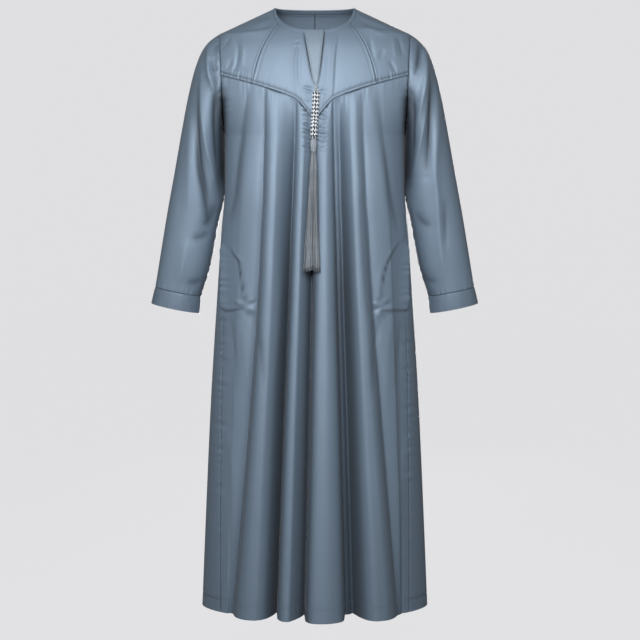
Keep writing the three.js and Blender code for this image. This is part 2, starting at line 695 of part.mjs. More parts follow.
// Two strands leave the tongue's tip, cross, and go into the top of the braid.
[[1, 'left'], [-1, 'right']].forEach(([sign, hand]) => {
  const tip = (tongue.tip.left + tongue.tip.right) / 2;
  const lift = tongue.gap + strand.over + (sign > 0 ? strand.clear : 0);
  const deep = plainDepth(tip, strand.start, 'front') + lift;
  const start = new THREE.Vector3(tip + sign * strand.apart, -deep, strand.start);
  const end = braidTop.clone();
  end.x -= sign * strand.joined;
  end.y -= sign * strand.fork;
  end.z += strand.radius + restGap;
  const middle = start.clone().lerp(end, 0.5);
  addMesh(`strand_${hand}`, tube([start, middle, end], strand), silverBraid);
});

function capGeometry() {
  const curve = cap.outline.map(([r, down]) => new THREE.Vector2(r, -down)).reverse();
  const profile = [new THREE.Vector2(0, -cap.height), ...curve, new THREE.Vector2(0, 0)];
  const geometry = new THREE.LatheGeometry(profile, cap.sides);
  geometry.rotateX(Math.PI / 2);
  const end = braidPoint(1);
  geometry.translate(end.x, end.y, cap.top);
  return geometry;
}
addMesh('tassel_cap', capGeometry(), silk);

function tasselGeometry() {
  const points = [];
  for (let j = 0; j <= tassel.rows; j++) {
    const v = j / tassel.rows;
    const x = lerp(tassel.top.x, tassel.end.x, v);
    const z = lerp(tassel.top.z, tassel.end.z, v);
    const half = lerp(tassel.top.half, tassel.end.half, v ** tassel.flare);
    const deep = lerp(tassel.top.deep, tassel.end.deep, v);
    const middle = proudest(z, x - half, x + half) + deep + restGap;
    for (let i = 0; i < tassel.sides; i++) {
      const angle = (i * 2 * Math.PI) / tassel.sides;
      points.push(new THREE.Vector3(x + half * Math.cos(angle), -middle + deep * Math.sin(angle), z));
    }
  }
  const triangles = [];
  const { rows, sides } = tassel;
  for (let j = 0; j < rows; j++) {
    for (let i = 0; i < sides; i++) {
      const [a, b] = [j * sides + i, j * sides + ((i + 1) % sides)];
      triangles.push(a, b, b + sides, a, b + sides, a + sides);
    }
  }
  for (let i = 1; i + 1 < sides; i++) {
    triangles.push(0, i + 1, i, rows * sides, rows * sides + i, rows * sides + i + 1);
  }
  return solid(points, triangles);
}
addMesh('tassel_skirt', tasselGeometry(), silk);

export default garment;
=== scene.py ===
# %% [markdown]
# # A Gulf thobe, tailored in Blender
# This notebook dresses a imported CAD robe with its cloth, braid and tassel. The CAD pieces stay in
# place as a hidden frame. Each visible piece follows the same tables of sizes that the CAD used,
# so it lands where the frame says, and then gets the folds, seams and stitches of real cloth.

import math

import bpy
import numpy as np
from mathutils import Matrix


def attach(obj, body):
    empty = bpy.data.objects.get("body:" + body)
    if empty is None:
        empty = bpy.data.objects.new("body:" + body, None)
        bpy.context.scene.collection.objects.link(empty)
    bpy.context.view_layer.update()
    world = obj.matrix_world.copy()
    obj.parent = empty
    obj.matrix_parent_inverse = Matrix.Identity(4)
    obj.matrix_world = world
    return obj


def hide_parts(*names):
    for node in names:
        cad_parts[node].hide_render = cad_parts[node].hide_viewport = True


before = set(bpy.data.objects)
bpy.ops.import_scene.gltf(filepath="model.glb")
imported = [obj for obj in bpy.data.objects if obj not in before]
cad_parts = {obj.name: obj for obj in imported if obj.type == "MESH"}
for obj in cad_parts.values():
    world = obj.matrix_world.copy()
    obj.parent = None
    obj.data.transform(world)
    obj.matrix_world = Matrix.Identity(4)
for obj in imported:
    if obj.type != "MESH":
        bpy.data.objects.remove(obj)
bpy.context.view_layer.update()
MM = 0.001

# %% [markdown]
# ## Camera
# A long lens from 4.5 m keeps the robe's sides nearly parallel, as in a studio picture. The lens
# is a little below the neck and tilts down, so the hem's front edge curves below its sides.

# %% Camera
camera_data = bpy.data.cameras.new("studio_camera")
camera_data.sensor_width = 36
camera_data.lens = 107.2
camera_data.clip_end = 60
camera = bpy.data.objects.new("studio_camera", camera_data)
bpy.context.scene.collection.objects.link(camera)
camera.location = (0.0125, -4.5, -0.25)
camera.rotation_euler = (math.radians(90 - 6.12), 0, 0)
bpy.context.scene.camera = camera
print("camera at", tuple(camera.location), "lens", camera_data.lens)

# %% [markdown]
# ## Shader maths in plain Python
# Every finish here is a small node tree. `Signal` wraps one socket, so that `mask * 0.3 + 0.5`
# adds the Math nodes by itself, and `Finish.add` makes any other node from its type, its settings
# and what goes into its sockets.


# %% Signal and Finish
class Signal:
    """One output socket that can be used in sums."""

    def __init__(self, finish, socket):
        self.finish, self.socket = finish, socket

    def maths(self, operation, *values):
        return self.finish.add("ShaderNodeMath", {"operation": operation}, dict(enumerate(values)))

    def __add__(self, other):
        return self.maths("ADD", self, other)

    def __mul__(self, other):
        return self.maths("MULTIPLY", self, other)

    __radd__, __rmul__ = __add__, __mul__


class Finish:
    """A material and its node tree."""

    def __init__(self, name, **constants):
        self.material = bpy.data.materials.new(name)
        self.material.use_nodes = True
        self.tree = self.material.node_tree
        self.shader = self.tree.nodes["Principled BSDF"]
        for socket, value in constants.items():
            self.shader.inputs[socket.replace("_", " ")].default_value = value

    def add(self, kind, settings=None, inputs=None, output=0):
        node = self.tree.nodes.new(kind)
        for key, value in (settings or {}).items():
            setattr(node, key, value)
        for key, value in (inputs or {}).items():
            self.join(value, node.inputs[key])
        return Signal(self, node.outputs[output])

    def join(self, value, socket):
        if isinstance(value, Signal):
            self.tree.links.new(value.socket, socket)
        else:
            socket.default_value = value

    def drive(self, socket, value):
        self.join(value, self.shader.inputs[socket])

    def mix(self, share, dark, light):
        """A colour between two, by a share from 0 to 1."""
        return self.add(
            "ShaderNodeMix", {"data_type": "RGBA"}, {0: share, 6: dark, 7: light}, output=2
        )

    def thread_uv(self, across, along):
        """The cloth's own UV map, in metres, scaled for a texture."""
        uv = self.add("ShaderNodeUVMap", {"uv_map": "cloth"})
        settings = {"operation": "MULTIPLY"}
        return self.add("ShaderNodeVectorMath", settings, {0: uv, 1: (across, along, 1)})

    def noise(self, place, scale, detail=2.0, roughness=0.5):
        inputs = {"Vector": place, "Scale": scale, "Detail": detail, "Roughness": roughness}
        return self.add("ShaderNodeTexNoise", None, inputs)

    def bump(self, height, distance, strength=1.0):
        return self.add(
            "ShaderNodeBump", None, {"Height": height, "Distance": distance, "Strength": strength}
        )


def tint(red, green, blue):
    """A colour given as 0 to 255 on a screen, as the linear colour that a shader wants."""
    parts = [value / 255 for value in (red, green, blue)]
    return (*[p / 12.92 if p < 0.04045 else ((p + 0.055) / 1.055) ** 2.4 for p in parts], 1)


print("shader helpers ready")

# %% [markdown]
# ## The robe's cloth
# The robe is a fine, smooth weave with a satin sheen: cloth that faces the light is much brighter
# than cloth that turns away. A third of its reflection is metallic, which gives that look. Its
# yarns are about 0.3 mm apart, so they only show close up, as a faint grid of ridges over a soft
# rumple. Uneven dye and slightly thicker yarns change its colour a little. Seams, stitched lines
# and deep hollows get painted shade: the meshes carry it as an attribute called `shade`.


# %% Cloth finish
def cloth_finish(name, dark, light, roughness, mottle=0.0):
    finish = Finish(name, Metallic=0.32, Sheen_Weight=0.08, Sheen_Roughness=0.4)
    broad = finish.noise(finish.thread_uv(5, 3), 1.0, 3.0)
    slub = finish.noise(finish.thread_uv(900, 14), 1.0, 2.0)
    colour = finish.mix(broad * 0.7 + slub * 0.3, dark, light)
    if mottle:
        patches = finish.noise(finish.thread_uv(420, 300), 1.0, 3.0, 0.65)
        grey = finish.add(
            "ShaderNodeMapRange", None, {"Value": patches, "From Min": 0.38, "From Max": 0.62}
        )
        colour = finish.mix(grey * mottle, colour, tint(104, 116, 126))
    # Painted shade: the `shade` attribute mixes the colour towards a dark slate in seams, stitch
    # lines and hollows.
    shade = finish.add("ShaderNodeAttribute", {"attribute_name": "shade"}, None, output=2)
    finish.drive("Base Color", finish.mix(shade, colour, tint(26, 33, 43)))
    finish.drive("Roughness", broad * 0.08 + (roughness - 0.04))
    waves = {"wave_type": "BANDS", "bands_direction": "X"}
    warp = finish.add(
        "ShaderNodeTexWave", waves, {"Vector": finish.thread_uv(1, 0), "Scale": 520}, output=1
    )
    weft = finish.add(
        "ShaderNodeTexWave",
        {"wave_type": "BANDS", "bands_direction": "Y"},
        {"Vector": finish.thread_uv(0, 1), "Scale": 470},
        output=1,
    )
    rumple = finish.noise(finish.thread_uv(38, 16), 1.0, 4.0, 0.55)
    height = rumple + (warp * weft + slub * 0.6) * 0.09
    finish.drive("Normal", finish.bump(height, 0.0013, 0.4))
    return finish.material


robe_cloth = cloth_finish("robe_cloth", tint(112, 130, 148), tint(123, 141, 159), 0.55)
tongue_cloth = cloth_finish("tongue_cloth", tint(124, 141, 156), tint(141, 157, 171), 0.6, 0.4)
print("cloth finishes:", robe_cloth.name, tongue_cloth.name)

# %% [markdown]
# ## Silk finishes
# The braid has silver and black silk, the tassel only silver-grey, with a darker copy of that grey
# as painted shade on some of its threads. Silk is smoother than the robe along its threads, so it
# gets lower roughness, and fine ridges that run round each strand.


# %% Silk finishes
def silk_finish(name, dark, light, roughness, ridge=0.0003):
    finish = Finish(name, Sheen_Weight=0.25, Specular_IOR_Level=0.5)
    threads = finish.noise(finish.thread_uv(1500, 60), 1.0, 2.0)
    finish.drive("Base Color", finish.mix(threads, dark, light))
    finish.drive("Roughness", threads * 0.15 + (roughness - 0.07))
    finish.drive("Normal", finish.bump(threads, ridge, 0.6))
    return finish.material


silver_silk = silk_finish("silver_silk", tint(206, 214, 222), tint(240, 245, 250), 0.4)
black_silk = silk_finish("black_silk", tint(14, 17, 22), tint(38, 43, 50), 0.35)
grey_silk = silk_finish("grey_silk", tint(82, 90, 98), tint(144, 153, 162), 0.42)
# A darker copy of the tassel's grey silk, used as painted shade on some of its threads.
shaded_grey_silk = silk_finish("shaded_grey_silk", tint(44, 50, 56), tint(88, 94, 101), 0.45)
cap_silk = silk_finish("cap_silk", tint(106, 115, 124), tint(160, 168, 177), 0.45)
sewing_thread = silk_finish("sewing_thread", tint(94, 112, 132), tint(118, 136, 154), 0.5)
print("silk finishes ready")

# %% [markdown]
# ## One helper for every tube
# Braid strands, tassel threads and tied windings are all thin tubes along a path. `tube_mesh`
# sweeps a small oval along many paths at once, and keeps a frame that doesn't twist.


# %% Tubes
def unit(vectors):
    return vectors / np.maximum(np.linalg.norm(vectors, axis=-1, keepdims=True), 1e-12)


def tube_mesh(name, paths, radii, sides, out=None, flat=1.0):
    """paths: (tubes, steps, 3) in mm; radii: (tubes, steps); out: a side direction for the oval."""
    paths, radii = np.asarray(paths, float), np.asarray(radii, float)
    tubes, steps = paths.shape[:2]
    along = unit(np.gradient(paths, axis=1))
    out = np.broadcast_to(np.array([0.0, 1.0, 0.0]) if out is None else out, paths.shape)
    side = unit(np.cross(along, out))
    out = np.cross(side, along)
    angle = np.linspace(0, 2 * np.pi, sides, endpoint=False)
    ring = (
        side[:, :, None] * np.cos(angle)[:, None] + out[:, :, None] * np.sin(angle)[:, None] * flat
    )
    points = paths[:, :, None] + ring * radii[:, :, None, None]
    ends = paths[:, [0, -1]].reshape(-1, 3)
    t, s, k = np.meshgrid(np.arange(tubes), np.arange(steps - 1), np.arange(sides), indexing="ij")
    at = lambda step, turn: (t * steps + step) * sides + turn % sides
    quads = np.stack([at(s, k), at(s, k + 1), at(s + 1, k + 1), at(s + 1, k)], -1).reshape(-1, 4)
    body = tubes * steps * sides
    caps = []
    for tube in range(tubes):
        for end, step in ((0, 0), (1, steps - 1)):
            centre = body + tube * 2 + end
            first = (tube * steps + step) * sides
            for turn in range(sides):
                pair = [first + turn, first + (turn + 1) % sides]
                caps.append([centre, *(pair[::-1] if end == 0 else pair)])
    mesh = bpy.data.meshes.new(name)
    vertices = np.concatenate([points.reshape(-1, 3), ends]) * MM
    mesh.from_pydata(vertices.tolist(), [], quads.tolist() + caps)
    length = np.linalg.norm(np.diff(paths, axis=1), axis=-1).cumsum(axis=1)
    length = np.concatenate([np.zeros((tubes, 1)), length], 1)
    u = np.stack([k, k + 1, k + 1, k], -1) / sides * 2 * np.pi * radii.mean()
    v = np.stack([length[t, s], length[t, s], length[t, s + 1], length[t, s + 1]], -1)
    uv = np.stack([u, v], -1).reshape(-1, 2)
    uv = np.concatenate([uv, np.zeros((len(caps) * 3, 2))]) * MM
    mesh.uv_layers.new(name="cloth").data.foreach_set("uv", uv.ravel())
    mesh.polygons.foreach_set("use_smooth", [True] * len(mesh.polygons))
    mesh.update()
    return mesh


def place(name, mesh, materials, slot, *nodes):
    """Links a finished piece with its materials, rides it on the body, and hides the CAD nodes it
    stands for.
    """
    piece = bpy.data.objects.new(name, mesh)
    bpy.context.scene.collection.objects.link(piece)
    for material in materials:
        mesh.materials.append(material)
    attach(piece, "root")
    if nodes:
        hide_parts(*nodes)
    return piece


print("tube helper ready")

# %% [markdown]
# ## The braided cord
# A round braid has twelve strands: six silver ones climb to the right and six black ones climb
# to the left, and each passes over one and under the next. That is why it looks like a chequer
# board. A sine wave in each strand's distance from the middle does the over and under. The route
# is the CAD cord's own: it hangs from the tongue's tip against the front of the robe.


# %% Braid
def smooth_path(points, count):
    """A smooth run through a few points: a Catmull-Rom curve."""
    points = np.asarray(points, float)
    ends = [2 * points[0] - points[1], *points, 2 * points[-1] - points[-2]]
    padded = np.array(ends)
    t = np.linspace(0, len(points) - 1, count)
    k = np.minimum(t.astype(int), len(points) - 2)
    f = (t - k)[:, None]
    a, b, c, d = (padded[k + i] for i in range(4))
    return 0.5 * (
        2 * b + (c - a) * f + (2 * a - 5 * b + 4 * c - d) * f**2 + (3 * b - a - 3 * c + d) * f**3
    )


cord_route = [  # mm
    (4.1, -130.5, -195),
    (2.8, -132.3, -216),
    (1.6, -134.0, -237),
    (0.3, -135.8, -258),
    (-0.9, -145.3, -279),
    (-2.2, -146.4, -300.2),
]
cord_line = smooth_path(cord_route, 150)
cord_steps = np.linalg.norm(np.diff(cord_line, axis=0), axis=1)
cord_run = np.concatenate([[0], cord_steps.cumsum()])
cord_length = cord_run[-1]
BRAID_LAY, BRAID_MIDDLE, BRAID_WAVE = 54.0, 5.7, 1.3
cord_along = unit(np.gradient(cord_line, axis=0))
cord_side = unit(np.cross(cord_along, [0, 1.0, 0]))
cord_front = np.cross(cord_side, cord_along)
strands, strand_out, strand_radius = [], [], []
for carrier in range(12):
    way = 1 if carrier % 2 else -1
    turn = way * 2 * np.pi * cord_run / BRAID_LAY + (carrier // 2) * np.pi / 3
    over = -way * np.cos(12 * np.pi * cord_run / BRAID_LAY)
    reach = BRAID_MIDDLE + BRAID_WAVE * over
    out = cord_side * np.cos(turn)[:, None] + cord_front * np.sin(turn)[:, None]
    strands.append(cord_line + out * reach[:, None])
    strand_out.append(out)
    ends = np.clip(np.minimum(cord_run, cord_length - cord_run) / 4, 0.55, 1)
    strand_radius.append(2.15 * ends)
braid_mesh = tube_mesh("braid", strands, strand_radius, 8, np.array(strand_out), flat=0.6)
braid = place("braided_cord", braid_mesh, [silver_silk, black_silk], "braid", "braid_cord")
tube_faces = 149 * 8
colour_of = [(face // tube_faces) % 2 for face in range(12 * tube_faces)]
colour_of += [tube % 2 for tube in range(12) for _ in range(16)]
braid_mesh.polygons.foreach_set("material_index", colour_of)
print(f"braid: {cord_length:.0f} mm long, {len(braid_mesh.polygons)} faces")

# %% [markdown]
# ## The two strands at the tongue's tip
# Two thin cords, each a silver and a black yarn twisted together, leave the tongue, cross once and
# go into the top of the braid.


# %% Tip strands
def twisted_strand(name, start, end, node):
    line = smooth_path([start, (np.array(start) + end) / 2 + [0, -0.4, 0], end], 60)
    along = unit(np.gradient(line, axis=0))
    side = unit(np.cross(along, [0, 1.0, 0]))
    front = np.cross(side, along)
    turn = np.linspace(0, 2 * np.pi * 3.2, 60)[:, None]
    yarns = [line + 0.62 * (side * np.cos(turn + p) + front * np.sin(turn + p)) for p in (0, np.pi)]
    mesh = tube_mesh(name, yarns, np.full((2, 60), 0.85), 8)
    piece = place(name, mesh, [silver_silk, black_silk], "braid", node)
    mesh.polygons.foreach_set("material_index", [0] * 472 + [1] * 472 + [0] * 16 + [1] * 16)
    return piece


twisted_strand("tip_strand_left", (8.0, -126.6, -179.9), (1.0, -132.4, -192.8), "strand_left")
twisted_strand("tip_strand_right", (-2.1, -123.2, -179.9), (7.2, -128.4, -192.8), "strand_right")
print("tip strands ready")

# %% [markdown]
# ## The tassel's bound head
# The head is a small knob wrapped with thread: thin ribs run down over a rounded core, and a tight
# collar of windings closes it at the bottom. The ribs are real tubes, so they catch the light.

# %% Tassel head
head_top, head_tall = -300.9, 30.4
head_x, head_y = -2.2, -146.4
rib_down = np.linspace(0, 1, 26)
rib_places, rib_sizes = [0, 0.05, 0.14, 0.34, 0.62, 0.88, 1], [1.6, 3.6, 5.4, 6.5, 6.1, 4.9, 5.2]
rib_reach = np.interp(rib_down, rib_places, rib_sizes)
rib_angles = np.linspace(0, 2 * np.pi, 26, endpoint=False)
ribs = [
    np.stack(
        [
            head_x + rib_reach * np.cos(angle + 0.25 * rib_down),
            head_y + rib_reach * np.sin(angle + 0.25 * rib_down),
            head_top - head_tall * rib_down,
        ],
        1,
    )
    for angle in rib_angles
]
head_mesh = tube_mesh("tassel_head", ribs, np.full((26, 26), 0.85), 6)
tassel_head = place("tassel_head", head_mesh, [cap_silk], "tassel_silk", "tassel_cap")
ring_turn = np.linspace(0, 2 * np.pi * 4.5, 120)
ring_line = np.stack(
    [
        head_x + 5.5 * np.cos(ring_turn),
        head_y + 5.5 * np.sin(ring_turn),
        np.linspace(head_top - 25.2, head_top - 29.4, 120),
    ],
    1,
)
collar_mesh = tube_mesh("tassel_collar", [ring_line], np.full((1, 120), 0.55), 6, [0, 0, 1.0])
tassel_collar = place("tassel_collar", collar_mesh, [cap_silk], "tassel_silk")
cord_line[0] * MM
(cord_line * MM).tolist()
print("tassel head: 26 ribs and a collar")

# %% [markdown]
# ## The tassel's threads
# The skirt of a tassel is many twisted threads that hang straight down and gather in small locks,
# so it shows long dark grooves between them and one deeper split near the bottom. Each thread
# follows its lock, with a little wander of its own, and the ends stop unevenly and curl.

# %% Tassel threads
spread = np.random.default_rng(7)
tassel_top, tassel_end = np.array([-2.4, -146.2, -329.5]), np.array([-6.7, -159.4, -606])
down = np.linspace(0, 1, 34)
threads, thread_radius = [], []
locks = np.linspace(-0.9, 0.9, 8)
for layer, (depth_share, count) in enumerate(((-0.75, 44), (0.0, 40), (0.7, 40))):
    for place_share in np.linspace(-0.96, 0.96, count):
        lock = locks[np.argmin(abs(locks - place_share))]
        pull = 0.7 * (lock - place_share) * np.sin(np.pi * np.clip(down * 1.15, 0, 1)) ** 0.7
        split = 0.07 * np.sign(place_share + 0.12) * np.clip((down - 0.7) / 0.3, 0, 1)
        share = place_share + pull + split + 0.03 * spread.normal() * np.sin(down * 9 + layer)
        half = np.interp(down, [0, 0.12, 0.5, 1], [4.4, 7.6, 12.6, 17.6])
        deep = np.interp(down, [0, 0.1, 1], [3.6, 5.2, 6.4])
        line = tassel_top + (tassel_end - tassel_top) * down[:, None]
        round_off = np.sqrt(np.clip(1 - share**2, 0.05, 1))
        line[:, 0] += half * share
        line[:, 1] += deep * depth_share * round_off - 1.1 * np.cos((share - lock) * 9)
        shorten = spread.uniform(0.955, 1.0)
        line[:, 2] = tassel_top[2] + (line[:, 2] - tassel_top[2]) * shorten
        curl = np.clip((down - 0.965) / 0.035, 0, 1) ** 2
        line[:, 0] += curl * spread.normal() * 1.6
        line[:, 1] -= curl * abs(spread.normal()) * 1.2
        threads.append(line)
        thread_radius.append(np.interp(down, [0, 0.1, 1], [0.55, 0.75, 0.92]))
tassel_mesh = tube_mesh("tassel_threads", threads, thread_radius, 5)
tassel = place("tassel_threads", tassel_mesh, [grey_silk, shaded_grey_silk], "tassel_silk", "tassel_skirt")
# About a third of the threads, chosen at random, take the darker copy of the grey silk as painted
# shade.
shaded_thread = spread.random(len(threads)) < 0.38
tassel_mesh.polygons.foreach_set(
    "material_index", np.concatenate([np.repeat(shaded_thread, 33 * 5), np.repeat(shaded_thread, 10)])
)
print(f"tassel: {len(threads)} threads, {len(tassel_mesh.polygons)} faces")

# %% [markdown]
# ## The worn body as a table
# Cloth that hangs from the shoulders has a simple section at each height: wide, a little boxy and
# flatter in front than a circle. A few rows give the half-width, the depth in front and behind,
# how far forward the side seam lies and how square the section is. A curve that never overshoots
# its rows joins them.


# %% Body tables
def smooth_table(places, values):
    """Reads a short table smoothly, without overshooting between its rows."""
    x, y = np.array(places, float), np.array(values, float)
    h = np.diff(x)
    rise = np.diff(y) / h
    lean = np.zeros_like(y)
    left, right = 2 * h[1:] + h[:-1], h[1:] + 2 * h[:-1]
    same = rise[:-1] * rise[1:] > 0
    safe = np.where(same, rise[:-1] * rise[1:], 1)
    middle = left * rise[1:] + right * rise[:-1] + 1e-30
    lean[1:-1] = np.where(same, (left + right) * safe / middle, 0)
    lean[0], lean[-1] = rise[0], rise[-1]

    def read(place_at):
        t = np.clip(place_at, x[0], x[-1])
        k = np.clip(np.searchsorted(x, t) - 1, 0, len(h) - 1)
        s = (t - x[k]) / h[k]
        start = (1 + 2 * s) * (1 - s) ** 2 * y[k] + s * (1 - s) ** 2 * h[k] * lean[k]
        return start + s * s * (3 - 2 * s) * y[k + 1] + s * s * (s - 1) * h[k] * lean[k + 1]

    return read


LENGTH, HEM, BAND = 1422.0, 31.0, 8.2  # the robe, its turned-up hem, the yoke's stitched band
body_rows = [  # down from the neck, half-width, front, back, seam, square
    (0, 90, 20, 66, 0, 2.4),
    (19, 131, 40, 84, 0, 2.4),
    (55, 208.5, 80, 101, 0, 2.4),
    (97, 220.5, 103, 112, 0, 2.4),
    (165, 216, 119, 121, 0, 2.4),
    (297, 212, 130, 121, 0, 2.4),
    (424, 212, 134, 118, 24, 2.6),
    (519, 220, 136, 121, 42, 2.35),
    (637, 228.5, 139, 126, 54, 2.15),
    (905, 246.5, 146, 138, 62, 1.9),
    (1160, 259.5, 152, 148, 68, 1.8),
    (LENGTH, 271.5, 158, 156, 74, 1.7),
]
downs = [row[0] for row in body_rows]
wide, front, back, seam, square = (
    smooth_table(downs, [row[i] for row in body_rows]) for i in range(1, 6)
)
print("body table:", len(body_rows), "rows")

# %% [markdown]
# ## Neck, shoulders and armholes
# The shoulder line slopes straight from the neck to the armhole. The armhole is a tall oval that
# leans in towards the underarm, and the sleeve starts on the same oval, so the two pieces share
# their seam exactly.

# %% Neck and armhole
NECK_X, NECK_DROP, SHOULDER_X, SHOULDER_Z = 90.0, 53.4, 223.6, -62.0
ARM = {"middle": -179.5, "tall": 117.5, "deep": 77.0, "x": 217.8, "lean": 5.8, "scoop": 3.0}
UNDERARM_Z = ARM["middle"] - ARM["tall"]
BINDING, BINDING_SHARE = 6.8, 0.95


def armhole(angle):
    """x, distance from the middle, and z of the armhole; 0 is the shoulder, pi the underarm."""
    c, s = np.cos(angle), np.sin(angle)
    x = ARM["x"] + ARM["lean"] * c - ARM["scoop"] * abs(s)
    return x, ARM["deep"] * s, ARM["middle"] + ARM["tall"] * c


def armhole_at(z):
    x, deep, _ = armhole(np.arccos(np.clip((z - ARM["middle"]) / ARM["tall"], -1, 1)))
    return x, deep


def half_width(z, deep, power):
    ridge = NECK_X + (SHOULDER_X - NECK_X) * z / SHOULDER_Z
    x, edge_deep = armhole_at(z)
    beside_arm = x / (1 - np.minimum(edge_deep / deep, 0.999) ** power) ** (1 / power)
    return np.where(z >= SHOULDER_Z, ridge, np.where(z <= UNDERARM_Z, wide(-z), beside_arm))


def plain_depth(x, z, side=front):
    """How far the unfolded cloth lies from the middle at x and z."""
    deep, power = side(-z), square(-z)
    share = np.minimum(1, abs(x) / half_width(z, deep, power))
    return deep * (1 - share**power) ** (1 / power)


def edge_x(z):
    """Where the armhole or the side seam lies."""
    below = wide(-z) * (1 - (seam(-z) / front(-z)) ** square(-z)) ** (1 / square(-z))
    return np.where(z > UNDERARM_Z, armhole_at(z)[0], below)


def neckline(angle, reach, drop):
    """A point of the neckline (reach 0) or of the binding's sewn edge (reach 1)."""
    power = 2 / 2.3
    c, s = np.cos(angle) ** power, np.sin(angle) ** power
    across = NECK_X + BINDING * BINDING_SHARE * reach
    z = (across - NECK_X) * SHOULDER_Z / (SHOULDER_X - NECK_X) * c - (drop + BINDING * reach) * s
    return across * c, z


def neck_z(x, reach=1.0, drop=NECK_DROP):
    across = NECK_X + BINDING * BINDING_SHARE * reach
    angle = np.arccos(np.minimum(1, abs(x) / across) ** (2.3 / 2))
    return neckline(angle, reach, drop)[1]


def yoke_seam_z(x):
    far = abs(np.asarray(x, float))
    dip = -263 + (-216.7 + 263) * (np.minimum(far, 37.4) / 37.4) ** 0.9
    wing = -216.7 + (-158.2 + 216.7) * (np.maximum(far - 37.4, 0) / (215.3 - 37.4)) ** 0.75
    return np.where(far < 37.4, dip, wing)


YOKE_END_X, _, YOKE_END_Z = armhole(math.radians(80))
print("underarm at", UNDERARM_Z, "yoke seam ends at", round(YOKE_END_Z, 1))

# %% [markdown]
# ## Creases, listed one by one
# Pressed lines, pulls from the neck and soft dents are each one line on the front view, a width
# and a height. A point near the line moves out along the cloth's own normal, most on the line and
# not at all a few widths away, and every line fades at its ends. `lean` makes one side steeper, as
# a pressed edge is.


# %% Crease tool
def crease_field(x, z, lines):
    """Sum of all creases at points x, z: lines of (path, width, height, lean)."""
    total = np.zeros_like(x)
    for path, width, height, lean in lines:
        curve = smooth_path([(a, b, 0) for a, b in path], 8 * len(path))[:, :2]
        best = np.full(x.shape, 1e9)
        side, way = np.zeros_like(x), np.zeros_like(x)
        near = (x > curve[:, 0].min() - 4 * width) & (x < curve[:, 0].max() + 4 * width)
        near &= (z > curve[:, 1].min() - 4 * width) & (z < curve[:, 1].max() + 4 * width)
        px, pz = x[near], z[near]
        nearest, sign, share = best[near], side[near], way[near]
        for i in range(len(curve) - 1):
            a, step = curve[i], curve[i + 1] - curve[i]
            t = np.clip(((px - a[0]) * step[0] + (pz - a[1]) * step[1]) / (step @ step), 0, 1)
            dx, dz = px - a[0] - t * step[0], pz - a[1] - t * step[1]
            gap = np.hypot(dx, dz)
            closer = gap < nearest
            nearest = np.where(closer, gap, nearest)
            sign = np.where(closer, np.sign(step[0] * dz - step[1] * dx), sign)
            share = np.where(closer, (i + t) / (len(curve) - 1), share)
        spread_out = width * np.where(sign > 0, 1 + lean, 1 - lean)
        fade = np.sin(np.pi * np.clip(share, 0.02, 0.98)) ** 0.6
        total[near] += height * fade * np.exp(-((nearest / spread_out) ** 1.5))
    return total


def ripples(distance, place_along, pitch, height, reach, seed=0):
    """Small puckers that run away from a seam: uneven waves along it, fading with distance."""
    phase = 2 * np.pi * place_along / pitch
    uneven = np.sin(phase + 1.3 * np.sin(phase * 0.37 + seed)) * (
        0.65 + 0.35 * np.sin(phase * 0.23 + 2 * seed)
    )
    return height * uneven * np.exp(-((distance / reach) ** 2))


print("crease tools ready")

# %% [markdown]
# ## From a grid of points to a piece of cloth
# Each panel is first a grid of points. `Panel` works out its normals, moves the points out by the
# creases and seam details, and builds the mesh with a UV map in real metres. The distances to the
# four edges are kept, because seams, hems and stitch lines all lie a set distance from an edge.
# `sew_piece` thickens the cloth inwards and prints its grid size and its area.


